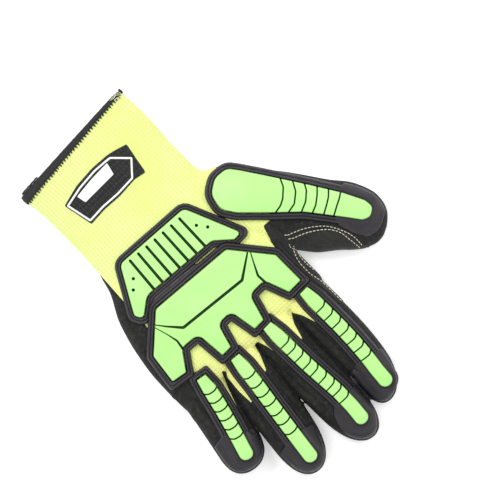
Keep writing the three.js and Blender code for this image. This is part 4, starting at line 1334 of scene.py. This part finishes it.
def make_guard(name, corners, border, cuts, stay_off=(), spare=(), **settings):
    cover = rounded(PADDLES[name]) if name in PADDLES else None
    parts = [rim(corners, border, stay_off, cover), *spare]
    if cover is not None:
        parts.append(skin_over(cover, PADDLE_THICK, steep=0.5, around=rounded(corners)))
    for part, base, (points, faces, shades), rubber, slot in (
        ("_guard_rim", "_guard_base", joined(parts), BLACK_RUBBER, "guard_black"),
        ("_pad", "_guard_pad", pad(corners, cuts, **settings), GREEN_RUBBER, "guard_green"),
    ):
        piece(name + part, points, faces, rubber, [name + base], shades)
    return groove_line(corners, border, cover)


# A groove across a finger guard: share of the half width, rise and width
LEFT_GROOVE = [(-1.15, -2.2, 1.0), (-0.95, -1.5, 0.95), (-0.55, -0.1, 0.8), (-0.3, 0.15, 0.75), (0.5, 0.1, 0.7),
               (1.15, -0.1, 0.6)]
BOTH_GROOVE = [(-1.15, -1.3, 0.8), (-0.85, -0.8, 0.8), (-0.5, 0.0, 0.8), (0.0, 0.2, 0.8), (0.45, 0.15, 0.8),
               (0.75, -0.5, 0.8), (1.15, -2.0, 0.8)]
GROOVES = {"index": LEFT_GROOVE, "middle": LEFT_GROOVE, "ring": BOTH_GROOVE, "little": BOTH_GROOVE}
THUMB_GROOVES = [
    [(-80, 104.5), (-79, 107), (-76.5, 112.5), (-71, 117.5), (-67, 119.5), (-61, 120.5)],
    [(-84.3, 111.5), (-83, 114.5), (-80, 120), (-74, 124.8), (-67.5, 126)],
    [(-88, 118), (-87, 121), (-85.2, 124.3), (-80, 128.8), (-73, 131.8)],
    [(-92.5, 125), (-91.5, 127.5), (-88, 131), (-83, 134.8), (-77, 137.3)],
    [(-96.7, 131), (-95.7, 133.5), (-92, 137), (-88, 139.5), (-81.5, 143)],
    [(-101.2, 137.5), (-100, 140), (-96.5, 142.3), (-92, 144.5), (-85.5, 148)],
]
# The tips' covers, wider than the digits where they go round them
PADDLES = {
    "thumb": [(-100, 138, 2), (-108, 137.5, 2), (-117, 148, 6), (-118, 160, 8), (-110.5, 169, 8),
              (-102, 173.3, 8), (-92.5, 172.3, 5), (-87.5, 165.5, 6), (-83.8, 154, 3), (-84, 150, 2)],
    "index": [(-47, 227, 2), (-54, 230, 3), (-52, 246, 10), (-44, 260, 12), (-24, 260, 10), (-20, 240, 8),
              (-21, 226, 3), (-30, 223, 2)],
    "middle": [(-15, 231.5, 2), (-25, 232.5, 3), (-25, 250, 8), (-14, 268, 10), (2, 266, 8), (5, 252, 6),
               (4.8, 243, 6), (2.5, 236, 4), (-2, 231.5, 2)],
    "ring": [(22, 228, 2), (13, 231, 3), (13, 245, 8), (20, 260, 10), (42, 260, 10), (48, 246, 8), (47, 230, 3),
             (36, 227.5, 2)],
    "little": [(49, 204, 2), (41, 206, 3), (44, 220, 8), (52, 230, 8), (70, 230, 8), (76, 214, 8),
               (73, 198.5, 3), (61, 195.5, 2)],
}
# A low bridge between the wrist's border and the knuckles'
BRIDGE = [(-6, 110.2, 1), (-3, 107.2, 0.5), (34, 103.2, 2), (44, 113, 2), (36, 110, 2), (10, 110.6, 5)]
# The wrist guard's first and last slot, each from foot to head as x, y and width, and its round holes
WRIST_SLOTS = [(-16.5, 80.5, 1.55), (-15.6, 106.5, 1.75)], [(24, 77.3, 1.55), (26.2, 103, 1.75)]
WRIST_SLOT_COUNT = 7
WRIST_DOTS, DOT_WIDTH = [(-25.3, 96.7), (-21, 91), (35.5, 91.7), (30.5, 86.7)], 1.9
THUMB_GROOVE_WIDTH = 0.85
BORDER, WRIST_BORDER = 4.7, 4.2
# How far the borders of these two guards keep others off
KNUCKLE_REACH, WRIST_REACH = 4.35, 3.9
THUMB_TIP_SEAM = [(-111.5, 163), (-108.5, 168), (-103, 171.9), (-96, 172.2), (-91.5, 170)]


def strip_point(name, y, aside=0.0):
    """A point beside a finger guard's middle line."""
    xs, ys = np.array(STRIPS[name]["line"]).T
    low, x, high = through(ys, xs, [y - 0.5, y, y + 0.5])
    ahead = np.array([high - low, 1.0]) / math.hypot(high - low, 1.0)
    return x + ahead[1] * aside, y - ahead[0] * aside


def strip_corners(name):
    (_, first), *_, (_, last) = STRIPS[name]["line"]
    middle = [(y, STRIP_HALF, 40) for y in np.linspace(first + STRIP_FLARE, last, 7)[1:-1]]
    stations = [(first, STRIP_ROOT_HALF, 0.8), (first + STRIP_FLARE, STRIP_HALF, 9), *middle,
                (last, STRIP_HALF, STRIP_HALF)]
    left = [(*strip_point(name, y, -half), radius) for y, half, radius in stations]
    return left + [(*strip_point(name, y, half), radius) for y, half, radius in reversed(stations)]


def strip_cuts(name):
    return [
        [(*strip_point(name, y + rise, side * STRIP_HALF), width) for side, rise, width in GROOVES[name]]
        for y in STRIPS[name]["grooves"]
    ]


def make_guards():
    knuckle_reach, wrist_reach = rounded(KNUCKLE_PAD, KNUCKLE_REACH), rounded(WRIST_PAD, WRIST_REACH)
    slots = np.linspace(*WRIST_SLOTS, WRIST_SLOT_COUNT).tolist()
    slots += [[(x - 0.02, y, DOT_WIDTH), (x + 0.02, y, DOT_WIDTH)] for x, y in WRIST_DOTS]
    bridge = pad(BRIDGE, top=2.2, floor=-0.4, edge=((0.0, 0.6), (0.5, 0.0)))
    thumb_cuts = [[(x, y, THUMB_GROOVE_WIDTH) for x, y in groove] for groove in THUMB_GROOVES]
    threads = [
        make_guard("knuckle", KNUCKLE_PAD, BORDER, KNUCKLE_CREASES, dome=0.3),
        make_guard("wrist", WRIST_PAD, WRIST_BORDER, slots, [knuckle_reach], [bridge], depth=2.6),
        make_guard("thumb", THUMB_PAD, BORDER, thumb_cuts, [wrist_reach, knuckle_reach], dome=0.5),
    ]
    for name in FINGERS:
        corners, cuts = strip_corners(name), strip_cuts(name)
        threads.append(make_guard(name, corners, STRIP_BORDER, cuts, [knuckle_reach], dome=0.45, step=1.2))
    stitched("guard_stitches", threads)
    stitched("thumb_stitches", [on_skin(curved(THUMB_TIP_SEAM), PADDLE_THICK + 0.05)])


make_guards()


# The hem

# The band's section: share of the way from its foot to its top, and distance out
HEM_PROFILE = [
    (0.12, -1.9), (0.02, -1.2), (0.0, -0.4), (0.05, 0.35), (0.2, 0.8), (0.5, 1.0), (0.8, 0.85), (0.95, 0.5),
    (1.0, 0.05), (1.0, -1.5), (0.9, -2.3), (0.5, -2.5),
]


def wrap(name, loop, out, at, reach, pitch, thickness, slant, seed, material=HEM_YARN):
    """Threads over the hem's edge, each as long as its reach and lying along the cuff."""
    loop = np.column_stack([loop[:, 0], at, loop[:, 2]])
    lines = line_mesh(name + "_line", [loop], closed=True)
    with_values(lines, outward=out, forward=np.tile([0.0, 1.0, 0.0], (len(loop), 1)), reach=reach)
    threads = grown_by(object_of(name + "_line", lines), WRAPS, name, pitch=pitch * METRE, reach=METRE,
                       thickness=thickness * METRE, slant=slant, seed=seed, material=material)
    finished(threads, (), above_table=True)


def make_hem():
    loop = evenly(hand_ring(0.012, count=RING_POINTS), 0.5)
    count, x = len(loop), loop[:, 0]
    ahead = np.roll(loop, -1, axis=0) - np.roll(loop, 1, axis=0)
    out = unit(np.column_stack([ahead[:, 2], np.zeros(count), -ahead[:, 0]]))
    fold = eased(np.abs(x + 0.5), 42.5, 46.0)
    foot, top = -2.3 + 0.05 * x + 1.1 * fold, 2.0 + 0.085 * x - 0.9 * fold
    rings = []
    for place, proud in HEM_PROFILE:
        ring = loop + out * (proud + 0.6 * fold * (proud > 0))[:, None]
        ring[:, 1] = mix(foot, top, place)
        rings.append(ring)
    points = np.vstack(rings)
    points[:, 2] = np.maximum(points[:, 2], LOWEST / METRE)
    piece("hem_band", points, ring_faces(count, len(rings)).tolist(), HEM_YARN, ["cuff_hem"])
    wrap("hem_wraps", loop + out * 0.75, out, mix(foot, top, 0.52), (top - foot) * 1.18, 0.95, 0.8, 0.35, 5)
    wrap("hem_teeth", loop + out * 0.5, out, top - 0.2, np.full(count, 3.9), 2.2, 1.15, 0.5, 8, BLACK_THREAD)


make_hem()


def cuff_top(x):
    """The height of the cuff's top, just ahead of the hem."""
    heights = skin_heights(np.column_stack([x, np.full(len(x), 3.0)]))
    return np.where(np.isfinite(heights), heights, BESIDE_HEIGHT)


LOOSE_ENDS = [
    [(-46.5, -0.5), (-44.5, -2.2), (-42, -3.2), (-39.5, -3.6)],
    [(-46, -2.5), (-43.5, -3.6), (-41, -2.6), (-38.5, -3.2)],
    [(-45, 0.5), (-43, -1.2), (-40.5, -1.6)],
    [(-44, -4.3), (-42, -4.0), (-40, -4.6), (-38.8, -4.1)],
]
# The fringe under the hem's right end: from where to where, and a thread's loop across and along
FRINGE_ACROSS, FRINGE_PITCH = (28.5, 42.5), 0.9
FRINGE_LOOP = np.array([[0, 0.25, 0.6, 0.85], [0.6, -0.75, -0.8, 0.6]])
ends = [curved(row, 0.3) for row in LOOSE_ENDS]
ends = [np.column_stack([plan, cuff_top(plan[:, 0]) + 1.9]) for plan in ends]
stitched("loose_ends", ends)
fringe = []
for x in np.arange(*FRINGE_ACROSS, FRINGE_PITCH):
    across, foot = x + FRINGE_LOOP[0], 0.05 * x - 2.55 + 0.15 * math.sin(5.1 * x)
    fringe.append(np.column_stack([across, foot + FRINGE_LOOP[1], cuff_top(across) + 0.6]))
stitched("hem_fringe", fringe)


# The label


LABEL = [(-22, 44.5, 1), (-14, 42.8, 4), (0, 43.7, 30), (13, 42.8, 30), (25, 43.5, 1), (29, 23.5, 1),
         (15, 20, 12), (0, 19, 30), (-14, 20, 30), (-26, 23.5, 1)]
KEYLINE = [(-16, 38.5, 1), (-13.5, 41.3, 1), (0, 41.8, 20), (12, 41.0, 20), (24, 41.5, 0.8), (27.5, 25, 0.8),
           (14, 22.3, 10), (0, 21.3, 20), (-12.5, 22.3, 3), (-22, 32, 0.8)]
FIELD = [(-7, 31.3, 0.6), (18, 31.3, 0.6), (19.3, 25, 0.6), (5, 23.6, 12), (-9, 23.3, 0.6)]
# The section of the line on the label: distance out and height
KEYLINE_PROFILE = [(0.65, 0.6), (0.6, 0.92), (-0.6, 0.92), (-0.65, 0.6)]


def make_label():
    points, faces, _ = pad(
        LABEL, top=0.75, floor=0.1, edge=((0.0, 0.25), (0.3, 0.05), (0.7, 0.0)), step=0.8, ribs=0.08)
    piece("label_patch", points, faces, LABEL_CLOTH, ["cuff_label"])
    loops = [laid(rounded(KEYLINE, reach), height) for reach, height in KEYLINE_PROFILE]
    keyline = np.vstack(loops), ring_faces(len(loops[0]), len(loops)).tolist(), np.zeros(len(loops[0]) * len(loops))
    points, faces, _ = joined([keyline, pad(FIELD, top=0.92, floor=0.6, edge=((0.0, 0.05), (0.4, 0.0)))])
    piece("label_ink", points, faces, LABEL_PRINT, ())


make_label()

bpy.context.view_layer.update()
